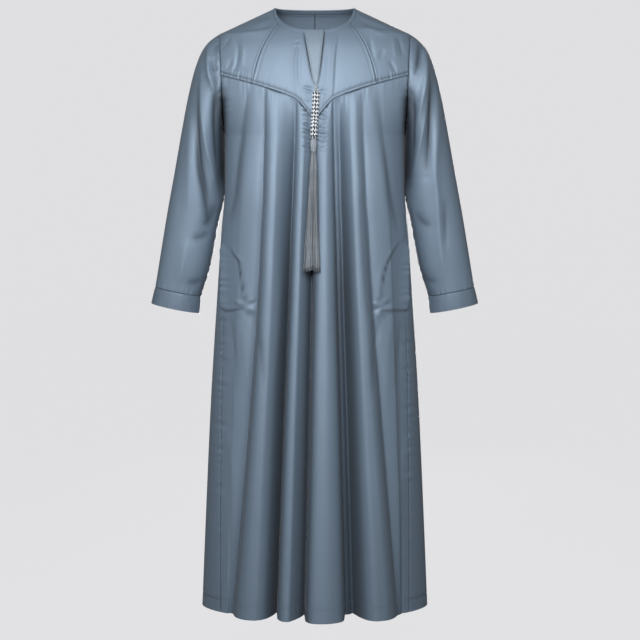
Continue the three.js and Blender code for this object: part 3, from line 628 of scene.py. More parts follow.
# %% Panel tool
class Panel:
    """A grid of cloth, (rows, columns, 3) in mm, with its normals and edge distances."""

    def __init__(self, grid, closed=False):
        self.grid, self.closed = np.asarray(grid, float), closed
        self.normals = self.find_normals()
        g = self.grid
        down_steps = np.linalg.norm(np.diff(g, axis=0), axis=-1).cumsum(axis=0)
        self.top = np.concatenate([np.zeros((1, g.shape[1])), down_steps])
        self.bottom = self.top[-1] - self.top
        side_steps = np.linalg.norm(np.diff(g, axis=1), axis=-1).cumsum(axis=1)
        self.first = np.concatenate([np.zeros((g.shape[0], 1)), side_steps], 1)
        self.last = self.first[:, -1:] - self.first
        # Painted shade for each point, from 0 to 1; the mesh carries it as the `shade` attribute.
        self.shade = np.zeros(g.shape[:2])

    def find_normals(self):
        g = self.grid
        if self.closed:
            across = np.roll(g, -1, 1) - np.roll(g, 1, 1)
            inside = g.mean(axis=1, keepdims=True)
        else:
            across = np.gradient(g, axis=1)
            inside = g * [0, 0, 1]
        normals = unit(np.cross(np.gradient(g, axis=0), across))
        self.flipped = (normals * (g - inside)).sum() < 0
        return -normals if self.flipped else normals

    def lift(self, amount):
        self.grid = self.grid + self.normals * np.asarray(amount)[..., None]

    def groove(self, distance, depth, width, shade=0.0):
        """A sunk line at a distance of 0 from `distance`, with optional painted shade along it."""
        line = np.exp(-((distance / width) ** 2))
        self.lift(-depth * line)
        self.shade = np.maximum(self.shade, shade * line)

    def mesh(self, name):
        rows, cols = self.grid.shape[:2]
        spans = cols if self.closed else cols - 1
        j, i = np.meshgrid(np.arange(rows - 1), np.arange(spans), indexing="ij")
        right = (i + 1) % cols
        corners = [j * cols + i, j * cols + right, (j + 1) * cols + right, (j + 1) * cols + i]
        u = self.first.mean(axis=0)
        u = np.append(u, u[-1] + u[1]) - u.mean()
        v = -self.top.mean(axis=1)
        uv = [(u[i], v[j]), (u[i + 1], v[j]), (u[i + 1], v[j + 1]), (u[i], v[j + 1])]
        if not self.flipped:
            corners, uv = corners[::-1], uv[::-1]
        mesh = bpy.data.meshes.new(name)
        quads = np.stack(corners, -1).reshape(-1, 4)
        mesh.from_pydata((self.grid.reshape(-1, 3) * MM).tolist(), [], quads.tolist())
        uv = np.stack([np.stack(pair, -1) for pair in uv], 2).reshape(-1, 2) * MM
        mesh.uv_layers.new(name="cloth").data.foreach_set("uv", uv.ravel())
        mesh.polygons.foreach_set("use_smooth", [True] * len(mesh.polygons))
        mesh.attributes.new("shade", "FLOAT", "POINT").data.foreach_set(
            "value", self.shade.ravel().astype(np.float32)
        )
        mesh.update()
        return mesh


def thicken(piece, wall=0.9):
    """Gives a piece of cloth its thickness, inwards from its outer face."""
    solid = piece.modifiers.new("cloth_thickness", "SOLIDIFY")
    solid.thickness = wall * MM
    solid.offset = -1
    solid.use_rim = True
    return piece


cuts = {  # width and length of the cut, flat area in square metres, and how it is held
    "front_skirt": (0.95, 1.27, 0.90, "hung", "yoke_centre_cloth"),
    "yoke_centre": (0.29, 0.23, 0.045, "stretched", "front_skirt_cloth"),
    "yoke_side": (0.17, 0.20, 0.0215, "stretched", "front_skirt_cloth"),
    "back": (0.55, 1.44, 0.56, "hung", "yoke_side"),
    "sleeve": (0.62, 0.62, 0.20, "hung", "yoke_side"),
    "cuff": (0.29, 0.042, None, "stretched", "sleeve"),
    "neck_binding": (0.54, 0.013, None, "stretched", "yoke_centre_cloth"),
    "placket_tongue": (0.047, 0.125, 0.0042, "laid", "yoke_centre_cloth"),
    "pocket_bag": (0.08, 0.14, 0.009, "hung", "front_skirt_cloth"),
}


def sew_piece(name, panel, node, material=robe_cloth, slot="robe_cloth", wall=0.9):
    piece = place(name, panel.mesh(name), [material], slot, node)
    thicken(piece, wall)
    kind = node.removesuffix("_left").removesuffix("_right")
    width, length, area, held, rests_on = cuts[kind]
    if not rests_on.endswith("_cloth"):
        rests_on += name[len(kind) :]
    corner = panel.grid[:-1, :-1]
    seen = np.cross(panel.grid[1:, :-1] - corner, panel.grid[:-1, 1:] - corner)
    square_metres = np.linalg.norm(seen, axis=-1).sum() * MM * MM
    print(f"{name}: {panel.grid.shape[0]} x {panel.grid.shape[1]} points, {square_metres:.4f} m2")
    return piece


def fine_shares(length, step, edge_steps=(1.2, 2.6, 4.5)):
    """Shares from 0 to 1 about a step apart, closer together at both ends."""
    lead = [0.0, *edge_steps]
    middle = np.linspace(edge_steps[-1], length - edge_steps[-1], max(3, int(length / step)))
    return np.concatenate([lead, middle[1:-1], length - np.array(lead[::-1])]) / length


print("panel tool ready")

# %% [markdown]
# ## The pleated front
# The long front hangs from the V-shaped yoke seam. Its pleats start flat in the seam and grow on
# the way down. Each fold line is a row: where it starts in the seam, where it reaches the hem, how
# it bends on its way, how far it stands out and whether it swells at half height. Smooth curves
# join the lines, and lines that lie close together make a crisp pressed edge. The main hollows
# end in a sharp V, as they do between two pressed pleats.

# %% Front skirt
front_folds = [  # x at the seam, x at the hem, bend, out, swell
    (-142.5, -202.4, 0.4, -4, 5),
    (-116, -194.3, 1.6, 0, -5),
    (-109.1, -186.2, 1.6, 20, 1),
    (-99.3, -165, 1.5, 29, 0),
    (-88.5, -144.7, 1.4, 26, 0),
    (-74.7, -120.4, 1.2, 9, 0),
    (-59, -102.2, 1.1, -18, 0),
    (-42.3, -90.6, 1, -37, 0),
    (-38.3, -87.5, 1, 5, 0),
    (-31.5, -75.9, 1, 16, 0),
    (-23.6, -62.7, 1, 14, 0),
    (-15.7, -50.6, 1, 0, 0),
    (-8.8, -39.5, 1.1, -16, 0),
    (-1, -25.3, 1.3, -32, 0),
    (2.9, -21.3, 1.5, 13, 0),
    (11.8, 0, 1.3, 23, 0),
    (23.6, 27.3, 1, 25, 0),
    (32.4, 52.6, 1, 20, 0),
    (38.8, 68.3, 1, 12, 0),
    (42.3, 72.4, 1, -30, 0),
    (55, 89.1, 1, -34, 0),
    (64.9, 108.3, 1.1, -7, 0),
    (74.7, 124.5, 1.2, 17, 0),
    (84.5, 147.8, 1.3, 33, 0),
    (93.4, 170, 1.3, 35, 0),
    (100.3, 186.2, 1.3, 27, 1),
    (111.1, 195.3, 1.3, 14, -4),
    (142.5, 203.4, 0.4, 5, 5),
]
HEM_EDGE = float(edge_x(np.array(-LENGTH)))
FOLD_GROWTH, DIP_FADE = 0.5, 500.0
flank = [share * YOKE_END_X for share in (0.92, 0.975, 1)]
plain_line = lambda x: (x, x / YOKE_END_X * HEM_EDGE, 1, 0, 0)
fold_lines = np.array(
    [plain_line(-x) for x in flank[::-1]] + front_folds + [plain_line(x) for x in flank], float
)
gaps = np.diff(fold_lines[:, :2].mean(axis=1))
counts = np.maximum(4, np.round(gaps / 3.9)).astype(int)
counts[[2, 3, -4, -3]] *= 2  # the pockets' stitched lines need a finer grid
fold_places = np.concatenate([k + np.arange(n) / n for k, n in enumerate(counts)] + [[len(gaps)]])
edge_places = [0.15, 0.35], [len(gaps) - 0.35, len(gaps) - 0.15]
fold_places = np.unique(np.concatenate([fold_places, *edge_places]))

# The last two numbers of each valley are how far its painted shade reaches to the left and right,
# in mm.
valleys = [  # fold line, depth, width, and how far its dark side reaches to the left and right
    (4, 8, 8, 11, 9),
    (10, 22, 8, 24, 6),
    (16, 22, 7, 11, 12),
    (22, 14, 6, 8, 9),
    (23, 20, 10, 22, 24),
    (29, 7, 7, 7, 7),
]


def front_points(levels, places):
    """The folded front at side levels (one a row) and fold places (one a column)."""
    order = range(len(fold_lines))
    top, hem, bend, out, swell = (smooth_table(order, fold_lines[:, i])(places) for i in range(5))
    share, level = top / YOKE_END_X, np.asarray(levels, float)[:, None]
    top_z = np.where(abs(share) > 0.9999, YOKE_END_Z, yoke_seam_z(top))
    fade = np.maximum(0, 1 - (YOKE_END_Z - level) / DIP_FADE) ** 2
    z = level + (top_z - YOKE_END_Z) * fade
    way = np.maximum(0, (top_z - z) / (top_z + LENGTH))
    x = share * edge_x(level + 0 * share) + (hem - share * HEM_EDGE) * way**bend
    stands_out = 1.12 * out * way**FOLD_GROWTH + swell * 4 * way * (1 - way)
    for line, depth, width, _, _ in valleys:
        k = np.argmin(abs(places - line))
        reach = np.hypot(x - x[:, k : k + 1], 0.2)
        grown = np.clip(way / 0.12, 0, 1) * (0.5 + 0.5 * way**0.5)
        stands_out = stands_out - depth * grown * np.exp(-reach / width)
    return np.stack([x, -plain_depth(x, z) - stands_out, z], -1)


front_levels = YOKE_END_Z - (LENGTH + YOKE_END_Z) * fine_shares(LENGTH + YOKE_END_Z, 7.0)
for high, low in ((-165, -345), (-540, -712)):  # the crinkles beside the braid, and the pockets
    front_levels = front_levels[(front_levels > high) | (front_levels < low)]
    front_levels = np.append(front_levels, np.arange(high, low, -3.3))
front_levels = np.sort(front_levels)[::-1]
front_skirt = Panel(front_points(front_levels, fold_places))
# Painted shade in each valley, growing darker towards the hem.
for line, depth, _, painted_shade_left, painted_shade_right in valleys:
    k = np.argmin(abs(fold_places - line))
    reach = front_skirt.grid[..., 0] - front_skirt.grid[:, k : k + 1, 0]
    reach = abs(reach) / np.where(reach < 0, painted_shade_left, painted_shade_right)
    grown = np.clip((-230 - front_skirt.grid[..., 2]) / 420, 0, 1) ** 0.8 * min(1, depth / 16)
    front_skirt.shade = np.maximum(front_skirt.shade, 0.72 * grown * np.exp(-(reach**2)))
print("front skirt grid:", front_skirt.grid.shape, "hem edge", round(HEM_EDGE, 1))

# %% [markdown]
# ## The front's creases, pocket stitching and hem
# Below the pleats the cloth still tells its story: short gathers under the yoke seam, a soft crease
# down each side, puckers along the side seams, pocket bags stitched through the front with a bar
# tack that pulls small creases round it, and a hem turned up 31 mm. The front's edge stands out a
# little at each pocket mouth. A negative x is the wearer's right.

# %% Front details
def beside_braid(x, z, seed):
    """Short puckers that run away from the braid on both sides, where the slit is closed."""
    reach = abs(abs(x - 0.5) - 16)
    height = np.clip((z + 335) / 20, 0, 1) * np.clip((-176 - z) / 12, 0, 1)
    crinkles = ripples(reach, z + 0.25 * x, 10.5, 2.9, 10, seed)
    return 1.4 * (crinkles + ripples(reach, z - 0.4 * x, 6.3, 1.1, 15, seed + 3)) * height


side_creases = [
    ([(-150, -178), (-166, -276), (-179, -368), (-188, -444), (-202, -505)], 9, -4.4, 0.3),
    ([(143, -185), (163, -326), (180, -444), (195, -514)], 9, -4.4, -0.3),
    ([(-128, -190), (-150, -300), (-162, -420), (-170, -540)], 8, 1.6, 0),
    ([(126, -200), (146, -310), (160, -430), (168, -520)], 8, 1.6, 0),
    ([(-150, -702), (-128, -775), (-118, -880)], 7, -2.0, 0.2),
    ([(-176, -712), (-160, -800), (-152, -930)], 8, 1.8, 0),
    ([(-198, -716), (-186, -800), (-184, -900)], 7, -1.6, 0),
    ([(158, -705), (140, -780), (134, -900)], 7, -2.0, -0.2),
    ([(182, -708), (170, -790), (168, -930)], 8, 1.8, 0),
    ([(205, -712), (196, -800), (194, -880)], 7, -1.6, 0),
    ([(-205, -980), (-190, -1120), (-196, -1300)], 12, 2.0, 0),
    ([(212, -1010), (204, -1150), (214, -1320)], 12, 2.0, 0),
    ([(-72, -560), (-80, -700), (-92, -860)], 9, 1.6, 0),
    ([(104, -420), (112, -560), (124, -720)], 9, -1.8, 0),
]
pocket_lines = [
    [
        *[(-200, -553), (-188, -572), (-177, -587), (-174, -608)],
        *[(-170, -634), (-166, -656), (-158, -682)],
    ],
    [(-220, -708), (-158, -693)],
    [(200, -538), (183, -564), (168, -590), (159, -623), (156, -648), (155, -681)],
    [(151, -697), (219, -703)],
]
bar_tacks = [((-169, -684), (-152, -695)), ((151, -684), (161, -696))]
tack_pulls = []
for (x0, z0), (x1, z1) in bar_tacks:
    cx, cz = (x0 + x1) / 2, (z0 + z1) / 2
    for k, (degrees, reach) in enumerate(
        ((20, 26), (62, 22), (105, 24), (150, 30), (196, 26), (238, 30), (282, 34), (325, 28))
    ):
        a = math.radians(degrees)
        near, far = (cx + 5 * math.cos(a), cz + 5 * math.sin(a)), (
            cx + reach * math.cos(a + 0.12),
            cz + reach * math.sin(a + 0.12),
        )
        tack_pulls.append(([near, far], 3.4, 2.3 if k % 2 else -2.3, 0))
gx, gz = front_skirt.grid[..., 0], front_skirt.grid[..., 2]
facing = np.clip(-front_skirt.normals[..., 1] * 2.5, 0, 1)
creases = crease_field(gx, gz, side_creases + tack_pulls) * facing
gather = np.exp(-(((gx + 42) / 20) ** 2)) + np.exp(-(((gx - 58) / 17) ** 2))
gathers = ripples(front_skirt.top, gx, 7.5, 1.5, 17, 1) * gather
gathers += ripples(front_skirt.top, gx, 11, 0.8, 26, 2)
for side_gap, seed in ((front_skirt.first, 3), (front_skirt.last, 5)):
    lower = 0.6 + 0.4 * np.cos((gz + 860) / 150)
    gathers += ripples(side_gap, gz, 19, 1.8, 22, seed) * lower
    gathers += ripples(side_gap, gz, 7, 0.5, 8, seed + 1)
crinkles = beside_braid(gx, gz, 8) * facing
front_skirt.lift(creases + gathers + crinkles)
# Painted shade in the hollows of the creases and of the crinkles beside the braid.
hollows = 0.5 * np.clip(-creases / 5 - crinkles / 5, 0, 1)
front_skirt.shade = np.maximum(front_skirt.shade, hollows)
front_skirt.lift(ripples(front_skirt.bottom - HEM, front_skirt.first, 16, 0.6, 14, 4))
# The yoke seam, hem line and side seams sink a little, with painted shade along each line.
front_skirt.groove(front_skirt.top, 1.0, 2.2, 0.25)
front_skirt.groove(front_skirt.bottom - HEM, 0.7, 1.3, 0.35)
front_skirt.groove(front_skirt.first, 0.9, 2.0, 0.3)
front_skirt.groove(front_skirt.last, 0.9, 2.0, 0.3)
stitched = crease_field(gx, gz, [(line, 2.6, 1.0, 0) for line in pocket_lines])
front_skirt.lift(-1.5 * stitched * facing)
beside = [([(x - 6 * np.sign(x), z) for x, z in line], 4.5, 1.6, 0) for line in pocket_lines]
front_skirt.lift(crease_field(gx, gz, beside) * facing)
# Painted shade along the pockets' stitched lines.
front_skirt.shade = np.maximum(front_skirt.shade, 0.75 * np.clip(stitched, 0, 1))
front_skirt.grid[..., 1] += 0.27 * np.exp(-((front_skirt.bottom / HEM) ** 4))
mouth = np.clip((gz + 706) / 16, 0, 1) * np.clip((-545 - gz) / 16, 0, 1)
edge_gap = np.minimum(front_skirt.first, front_skirt.last)
edge_near = np.exp(-((edge_gap / 13) ** 2)) * mouth
front_skirt.grid[..., 0] += np.sign(gx) * 9 * edge_near
front_skirt.grid[..., 1] += 3 * edge_near
# Painted shade along the front's edge beside the arm, for the shadow under the sleeve.
beside_arm = np.clip((-175 - gz) / 40, 0, 1) * np.clip((gz + 470) / 90, 0, 1)
front_skirt.shade = np.maximum(front_skirt.shade, beside_arm * np.exp(-((edge_gap / 15) ** 2)))
sew_piece("front_skirt_cloth", front_skirt, "front_skirt")

# %% [markdown]
# ## The yoke
# Two curved seams divide the yoke into a centre and two sides. Each part is filled in between its
# four edge curves, which is how a pattern cutter would grade it: every inner line takes part of
# its shape from each edge. The depth comes from the same body table, so the parts join smoothly.


# %% Yoke surfaces
def resample(points, shares):
    """Points at shares of the way along a curve on the front of the body."""
    points = np.asarray(points, float)
    solid = np.stack([points[:, 0], -plain_depth(points[:, 0], points[:, 1]), points[:, 1]], 1)
    run = np.concatenate([[0], np.linalg.norm(np.diff(solid, axis=0), axis=1).cumsum()])
    return np.stack([np.interp(shares * run[-1], run, points[:, i]) for i in range(2)], -1)


def fill_between(top, bottom, left, right, across, down):
    u, v = across[None, :, None], down[:, None, None]
    top, bottom, left, right = top[None], bottom[None], left[:, None], right[:, None]
    corners = (1 - v) * ((1 - u) * top[:, :1] + u * top[:, -1:])
    corners = corners + v * ((1 - u) * bottom[:, :1] + u * bottom[:, -1:])
    flat = (1 - v) * top + v * bottom + (1 - u) * left + u * right - corners
    x, z = flat[..., 0], flat[..., 1]
    return np.stack([x, -plain_depth(x, z), z], -1)


many = np.linspace(0, 1, 400)
pull = (129.0, -88.0)
seam_start = np.array(neckline(math.radians(33), 1, NECK_DROP))
seam_end = np.array([142.5, float(yoke_seam_z(142.5))])
t = many[:, None]
princess = (1 - t) ** 2 * seam_start + 2 * t * (1 - t) * np.array(pull) + t * t * seam_end
yoke_down = fine_shares(165, 3.2)
yoke_across = fine_shares(285, 3.6)
neck_x = seam_start[0] * (2 * yoke_across - 1)
neck_edge = np.stack([neck_x, neck_z(neck_x)], 1)
seam_x = 142.5 * (2 * yoke_across - 1)
v_seam = np.stack([seam_x, yoke_seam_z(seam_x)], 1)
right_edge = resample(princess, yoke_down)
yoke_centre = Panel(
    fill_between(neck_edge, v_seam, right_edge * [-1, 1], right_edge, yoke_across, yoke_down)
)
neck_turn = np.linspace(0, math.radians(33), 60)
inner = np.concatenate([np.stack(neckline(neck_turn, 1, NECK_DROP), 1)[:-1], princess])
arm_x, _, arm_z = armhole(np.radians(80) * many)
ridge_start = np.array(neckline(0.0, 1, NECK_DROP))
side_down, side_across = fine_shares(190, 3.2), fine_shares(135, 3.4)
ridge = ridge_start + (np.array([SHOULDER_X, SHOULDER_Z]) - ridge_start) * side_across[:, None]
wing_x = 142.5 + (YOKE_END_X - 142.5) * side_across
wing = np.stack([wing_x, yoke_seam_z(wing_x)], 1)
wing[-1] = YOKE_END_X, YOKE_END_Z
yoke_side_plan = fill_between(
    ridge,
    wing,
    resample(inner, side_down),
    resample(np.stack([arm_x, arm_z], 1), side_down),
    side_across,
    side_down,
)
yoke_sides = {sign: Panel(yoke_side_plan * [sign, 1, 1]) for sign in (-1, 1)}
print("yoke grids:", yoke_centre.grid.shape, yoke_side_plan.shape)

# %% [markdown]
# ## Yoke creases, seams and topstitching
# The curved seams show a fine ridge where the layers turn, and a row of stitches 8 mm inside. The
# V seam has two rows 8 mm apart with the band between them slightly raised and puckered. Two
# pressed lines run down beside the tongue, pulls fan out from the neck and drop from the shoulders.

# %% Yoke details
yoke_creases = [
    ([(-34, -78), (-43, -123), (-40, -208)], 3.2, 1.5, 0.4),
    ([(-29, -80), (-37, -124), (-35, -200)], 3.0, -1.1, 0),
    ([(-58, -72), (-60, -120), (-54, -190)], 6, -0.8, 0),
    ([(51, -66), (44, -123), (39, -214)], 3.2, 1.6, -0.4),
    ([(57, -64), (50, -123), (45, -206)], 3.4, -1.2, 0),
    ([(30, -90), (30, -130), (26, -190)], 5, -0.8, 0),
    ([(-185, -76), (-177, -100), (-181, -134), (-187, -150)], 4.5, -1.9, 0.2),
    ([(-196, -70), (-210, -91)], 4.5, -1.6, 0),
    ([(-191, -120), (-201, -145)], 4.5, -1.4, 0),
    ([(-168, -74), (-164, -104), (-168, -140)], 5.5, 1.3, 0),
    ([(127, -70), (131, -98), (135, -123)], 4.5, -1.6, 0),
    ([(159, -98), (148, -121)], 4.5, -1.3, 0),
    ([(172, -123), (189, -153)], 5, -1.6, 0),
    ([(193, -69), (200, -94), (202, -113)], 4.5, -1.9, 0),
    ([(180, -70), (184, -98), (188, -120)], 5, 1.2, 0),
    ([(98, -10), (188, -42)], 4, -1.3, 0),
    ([(98, -20), (186, -52)], 4, 1.0, 0),
    ([(100, -30), (174, -60)], 4, -1.1, 0),
    ([(102, -42), (162, -67)], 4, 0.8, 0),
    ([(-99, -15), (-139, -29)], 4, -1.2, 0),
    ([(-99, -27), (-140, -44)], 4, 0.9, 0),
    ([(-101, -42), (-144, -56)], 4, -1.0, 0),
    ([(-96, -52), (-180, -62)], 6, 1.6, 0.4),
    ([(86, -49), (211, -60)], 6, 1.6, -0.4),
    ([(-150, -150), (-172, -142), (-196, -138)], 7, -1.0, 0),
    ([(-30, -84), (-38, -82), (-48, -84)], 2.4, -0.8, 0),
    ([(-30, -96), (-39, -94), (-50, -97)], 2.4, -0.7, 0),
]

tongue_edges = [[(-25.5, -52), (-3.4, -176)], [(23, -52), (9.4, -176)]]
for name, panel, node in (
    ("yoke_centre_cloth", yoke_centre, "yoke_centre"),
    ("yoke_side_left_cloth", yoke_sides[1], "yoke_side_left"),
    ("yoke_side_right_cloth", yoke_sides[-1], "yoke_side_right"),
):
    px, pz = panel.grid[..., 0], panel.grid[..., 2]
    panel.lift(1.5 * crease_field(px, pz, yoke_creases) * np.clip(-panel.normals[..., 1] * 2, 0, 1))
    band = np.exp(-(((panel.bottom - 4) / 4.2) ** 4))
    panel.lift(band * (0.8 + ripples(0 * px, panel.first, 5.2, 0.45, 1, 6)))
    panel.lift(ripples(np.maximum(0, panel.bottom - 8), panel.first, 9, 0.8, 12, 7))
    # Sunk seam and stitch lines here and below, with painted shade along each.
    panel.groove(panel.bottom - BAND, 1.3, 2.2, 0.6)
    panel.groove(panel.bottom, 1.0, 2.2, 0.35)
    if panel is yoke_centre:
        panel.lift(beside_braid(px, pz, 8))
        # A sunk line under each edge of the tongue, with a painted shadow along it.
        under_tongue_shadow = crease_field(px, pz, [(line, 2.2, 1.0, 0) for line in tongue_edges])
        panel.lift(-1.6 * under_tongue_shadow)
        panel.shade = np.maximum(panel.shade, np.clip(under_tongue_shadow * 1.4, 0, 1))
        for gap in (panel.first, panel.last):
            panel.lift(0.5 * np.exp(-(((gap - 3) / 2.2) ** 4)))
            panel.groove(gap - 8.0, 0.6, 1.4, 0.22)
            panel.groove(gap, 0.8, 1.4, 0.25)
    else:
        on_seam = np.clip((panel.top - 36) / 8, 0, 1)
        panel.lift(0.9 * np.exp(-(((panel.first - 3) / 2.4) ** 2)) * on_seam)
        panel.groove(panel.first, 0.8, 1.4, 0.25)
        panel.groove(panel.last, 1.2, 2.2, 0.3)
        panel.groove(panel.top, 0.5, 1.4, 0.2)
        panel.lift(ripples(panel.last, panel.top, 13, 0.9, 12, 9))
    sew_piece(name, panel, node)

# %% [markdown]
# ## The back
# Each back half runs from the centre seam, over the shoulder blade and round under the arm to the
# side seam, which sits a little forward. It hangs in broad folds that start below the shoulders.
# Above the underarm its rows end at the armhole; below, they follow the section round the side.

# %% Back halves
back_folds = np.array(
    [  # x at the shoulder line, x at the hem, bend, out
        (0, 0, 1, 0),
        (24, 38, 1, -24),
        (33, 54, 1, 10),
        (46, 74, 1.1, 25),
        (66, 102, 1.1, 4),
        (82, 127, 1.2, -28),
        (93, 141, 1.2, 4),
        (112, 163, 1.3, 27),
        (145, 195, 1.3, 14),
    ],
    float,
)
BACK_START = -190.0
back_share_of = smooth_table(range(9), back_folds[:, 0] / 212)
fold_count = np.maximum(4, np.round(np.diff(back_folds[:, :2].mean(axis=1)) / 4)).astype(int)
back_places = np.concatenate([k + np.arange(n) / n for k, n in enumerate(fold_count)] + [[8]])
neck_share = ridge_start[0] / SHOULDER_X
dense = np.linspace(0, 8, 4001)
neck_place = dense[np.argmin(abs(back_share_of(dense) - neck_share))]
back_places = np.unique(np.append(back_places, [0.08, 0.2, neck_place]))
side_way = fine_shares(1, 1 / 34, (0.012, 0.03, 0.06))[1:]


def back_points(levels, sign):
    level = np.asarray(levels, float)[:, None]
    share, hem, bend, out = (
        smooth_table(range(9), column)(back_places)
        for column in (back_folds[:, 0] / 212, *back_folds[:, 1:].T)
    )
    under = np.minimum(level, SHOULDER_Z)

    def upper(share):
        along = share * SHOULDER_X
        ridge_z = ridge_start[1] + (SHOULDER_Z - ridge_start[1]) * (along - ridge_start[0]) / (
            SHOULDER_X - ridge_start[0]
        )
        edge = np.where(along < ridge_start[0] - 0.02, neck_z(along, 1, 2), ridge_z)
        fade = np.maximum(0, 1 - (SHOULDER_Z - level) / (SHOULDER_Z - UNDERARM_Z)) ** 2
        return share * edge_x(under + 0 * share), level + (edge - SHOULDER_Z) * fade

    x, z = upper(share)
    way = np.maximum(0, (BACK_START - level) / (BACK_START + LENGTH))
    start = np.clip((BACK_START - level) / 260, 0, 1)
    grown = way**FOLD_GROWTH * start * start * (3 - 2 * start)
    x = x + (hem - share * HEM_EDGE) * way**bend
    y = plain_depth(x, z, back) + (1 if sign > 0 else 0.9) * out * grown
    side_x, side_z = upper(share[-1] + (1 - share[-1]) * side_way[None])
    side_y = plain_depth(side_x, side_z, back)
    power, full = square(-level), wide(-level)
    start = np.pi - np.arcsin(np.minimum(1, x[:, -1:] / full) ** (power / 2))
    finish = np.arccos(np.clip(seam(-level) / front(-level), 0, 1) ** (power / 2))
    angle = start + (finish - start) * side_way
    s, c = np.sin(angle), np.cos(angle)
    deep = np.where(c < 0, back(-level), front(-level))
    below = level <= UNDERARM_Z
    side_x = np.where(below, full * s ** (2 / power), side_x)
    below_arm = np.clip((UNDERARM_Z - level) / 80, 0, 1)
    leftover = (y - plain_depth(x, z, back))[:, -1:] * (1 - side_way) ** 2 * below_arm
    side_y = np.where(below, -np.sign(c) * deep * abs(c) ** (2 / power), side_y) + leftover
    side_z = np.where(below, level + 0 * side_way, side_z)
    sides = np.stack([side_x, side_y, side_z], -1)
    return np.concatenate([np.stack([x, y, z], -1), sides], 1) * [sign, 1, 1]


ridge_rows = SHOULDER_Z - 60 * np.linspace(0, 1, 26) ** 2
lower_rows = ridge_rows[-1] - (LENGTH + ridge_rows[-1]) * fine_shares(1300, 5.2)[1:]
back_levels = np.concatenate([ridge_rows, lower_rows])
back_creases = [
    ([(26, -60), (70, -100), (128, -150)], 9, -1.8, 0),
    ([(20, -110), (74, -160), (140, -210)], 10, 1.6, 0),
    ([(150, -90), (158, -150), (176, -214)], 8, -2.0, 0),
    ([(176, -96), (184, -150), (196, -200)], 7, 1.6, 0),
    ([(60, -300), (96, -420), (120, -560)], 12, -2.2, 0),
    ([(120, -330), (150, -480), (168, -640)], 12, 2.0, 0),
    ([(176, -330), (186, -460), (196, -600)], 10, -2.4, 0),
    ([(180, -760), (200, -960), (214, -1200)], 13, 2.4, 0),
]
for sign, side in ((1, "left"), (-1, "right")):
    panel = Panel(back_points(back_levels, sign))
    px, pz = abs(panel.grid[..., 0]), panel.grid[..., 2]
    lean_in = 1 if sign > 0 else 0.8
    behind = np.clip(panel.normals[..., 1] * 2, 0, 1)
    panel.lift(crease_field(px, pz, back_creases) * behind * lean_in)
    lower = np.clip((UNDERARM_Z - pz) / 60, 0, 1) * (0.6 + 0.4 * np.cos((pz + 860) / 150))
    panel.lift(ripples(panel.last, pz, 19, 1.6, 22, 4 + sign) * lower)
    panel.lift(ripples(panel.first, pz, 26, 0.9, 20, 11) * np.clip((-30 - pz) / 60, 0, 1))
    panel.lift(ripples(panel.bottom - HEM, panel.first, 16, 0.6, 14, 12))
    # Sunk seam, hem and stitch lines, with painted shade along each.
    panel.groove(panel.first, 0.8, 1.6, 0.5)
    panel.groove(panel.last, 0.9, 1.8, 0.5)
    panel.groove(panel.bottom - HEM, 0.7, 1.3, 0.35)
    panel.groove(panel.top - 7, 0.4, 1.2, 0.3)
    sew_piece(f"back_{side}_cloth", panel, f"back_{side}")

# %% [markdown]
# ## Sleeves and cuffs
# A sleeve is a tube that starts on the armhole and bends a little at the elbow. Ten rings give its
# outer line, its inner line and its depth. The arms hang down, so the cloth bunches under the arm
# and drops in long ridges from the shoulder. Creases far from the viewer's side are fainter copies.

# %% Sleeves
sleeve_rings = np.array(
    [  # outer x and z, inner x and z, depth
        (223.6, -62, 212, -297, 77),
        (245, -77.5, 211, -308, 80),
        (263, -100, 210.5, -317.5, 80),
        (279, -138.5, 210.5, -329.5, 78),
        (296, -204, 210.5, -351, 72),
        (311.5, -282.5, 210.5, -385.5, 66),
        (328.5, -375.5, 212, -430, 60),
        (347.5, -476.5, 227.5, -504, 54),
        (365, -578.5, 247, -604.5, 48),
        (377.5, -653, 269.5, -675, 41),
    ]
)
around = np.pi + np.linspace(0, 2 * np.pi, 128, endpoint=False)


def ring_points(rows, scoop):
    """Closed rings; the angle starts at the inner line, where the underarm seam runs."""
    outer, inner = rows[:, None, 0:2], rows[:, None, 2:4]
    flat = (outer + inner) / 2 + (outer - inner) / 2 * np.cos(around)[None, :, None]
    x = flat[..., 0] - scoop[:, None] * abs(np.sin(around))
    return np.stack([x, -rows[:, 4:5] * np.sin(around), flat[..., 1]], -1)


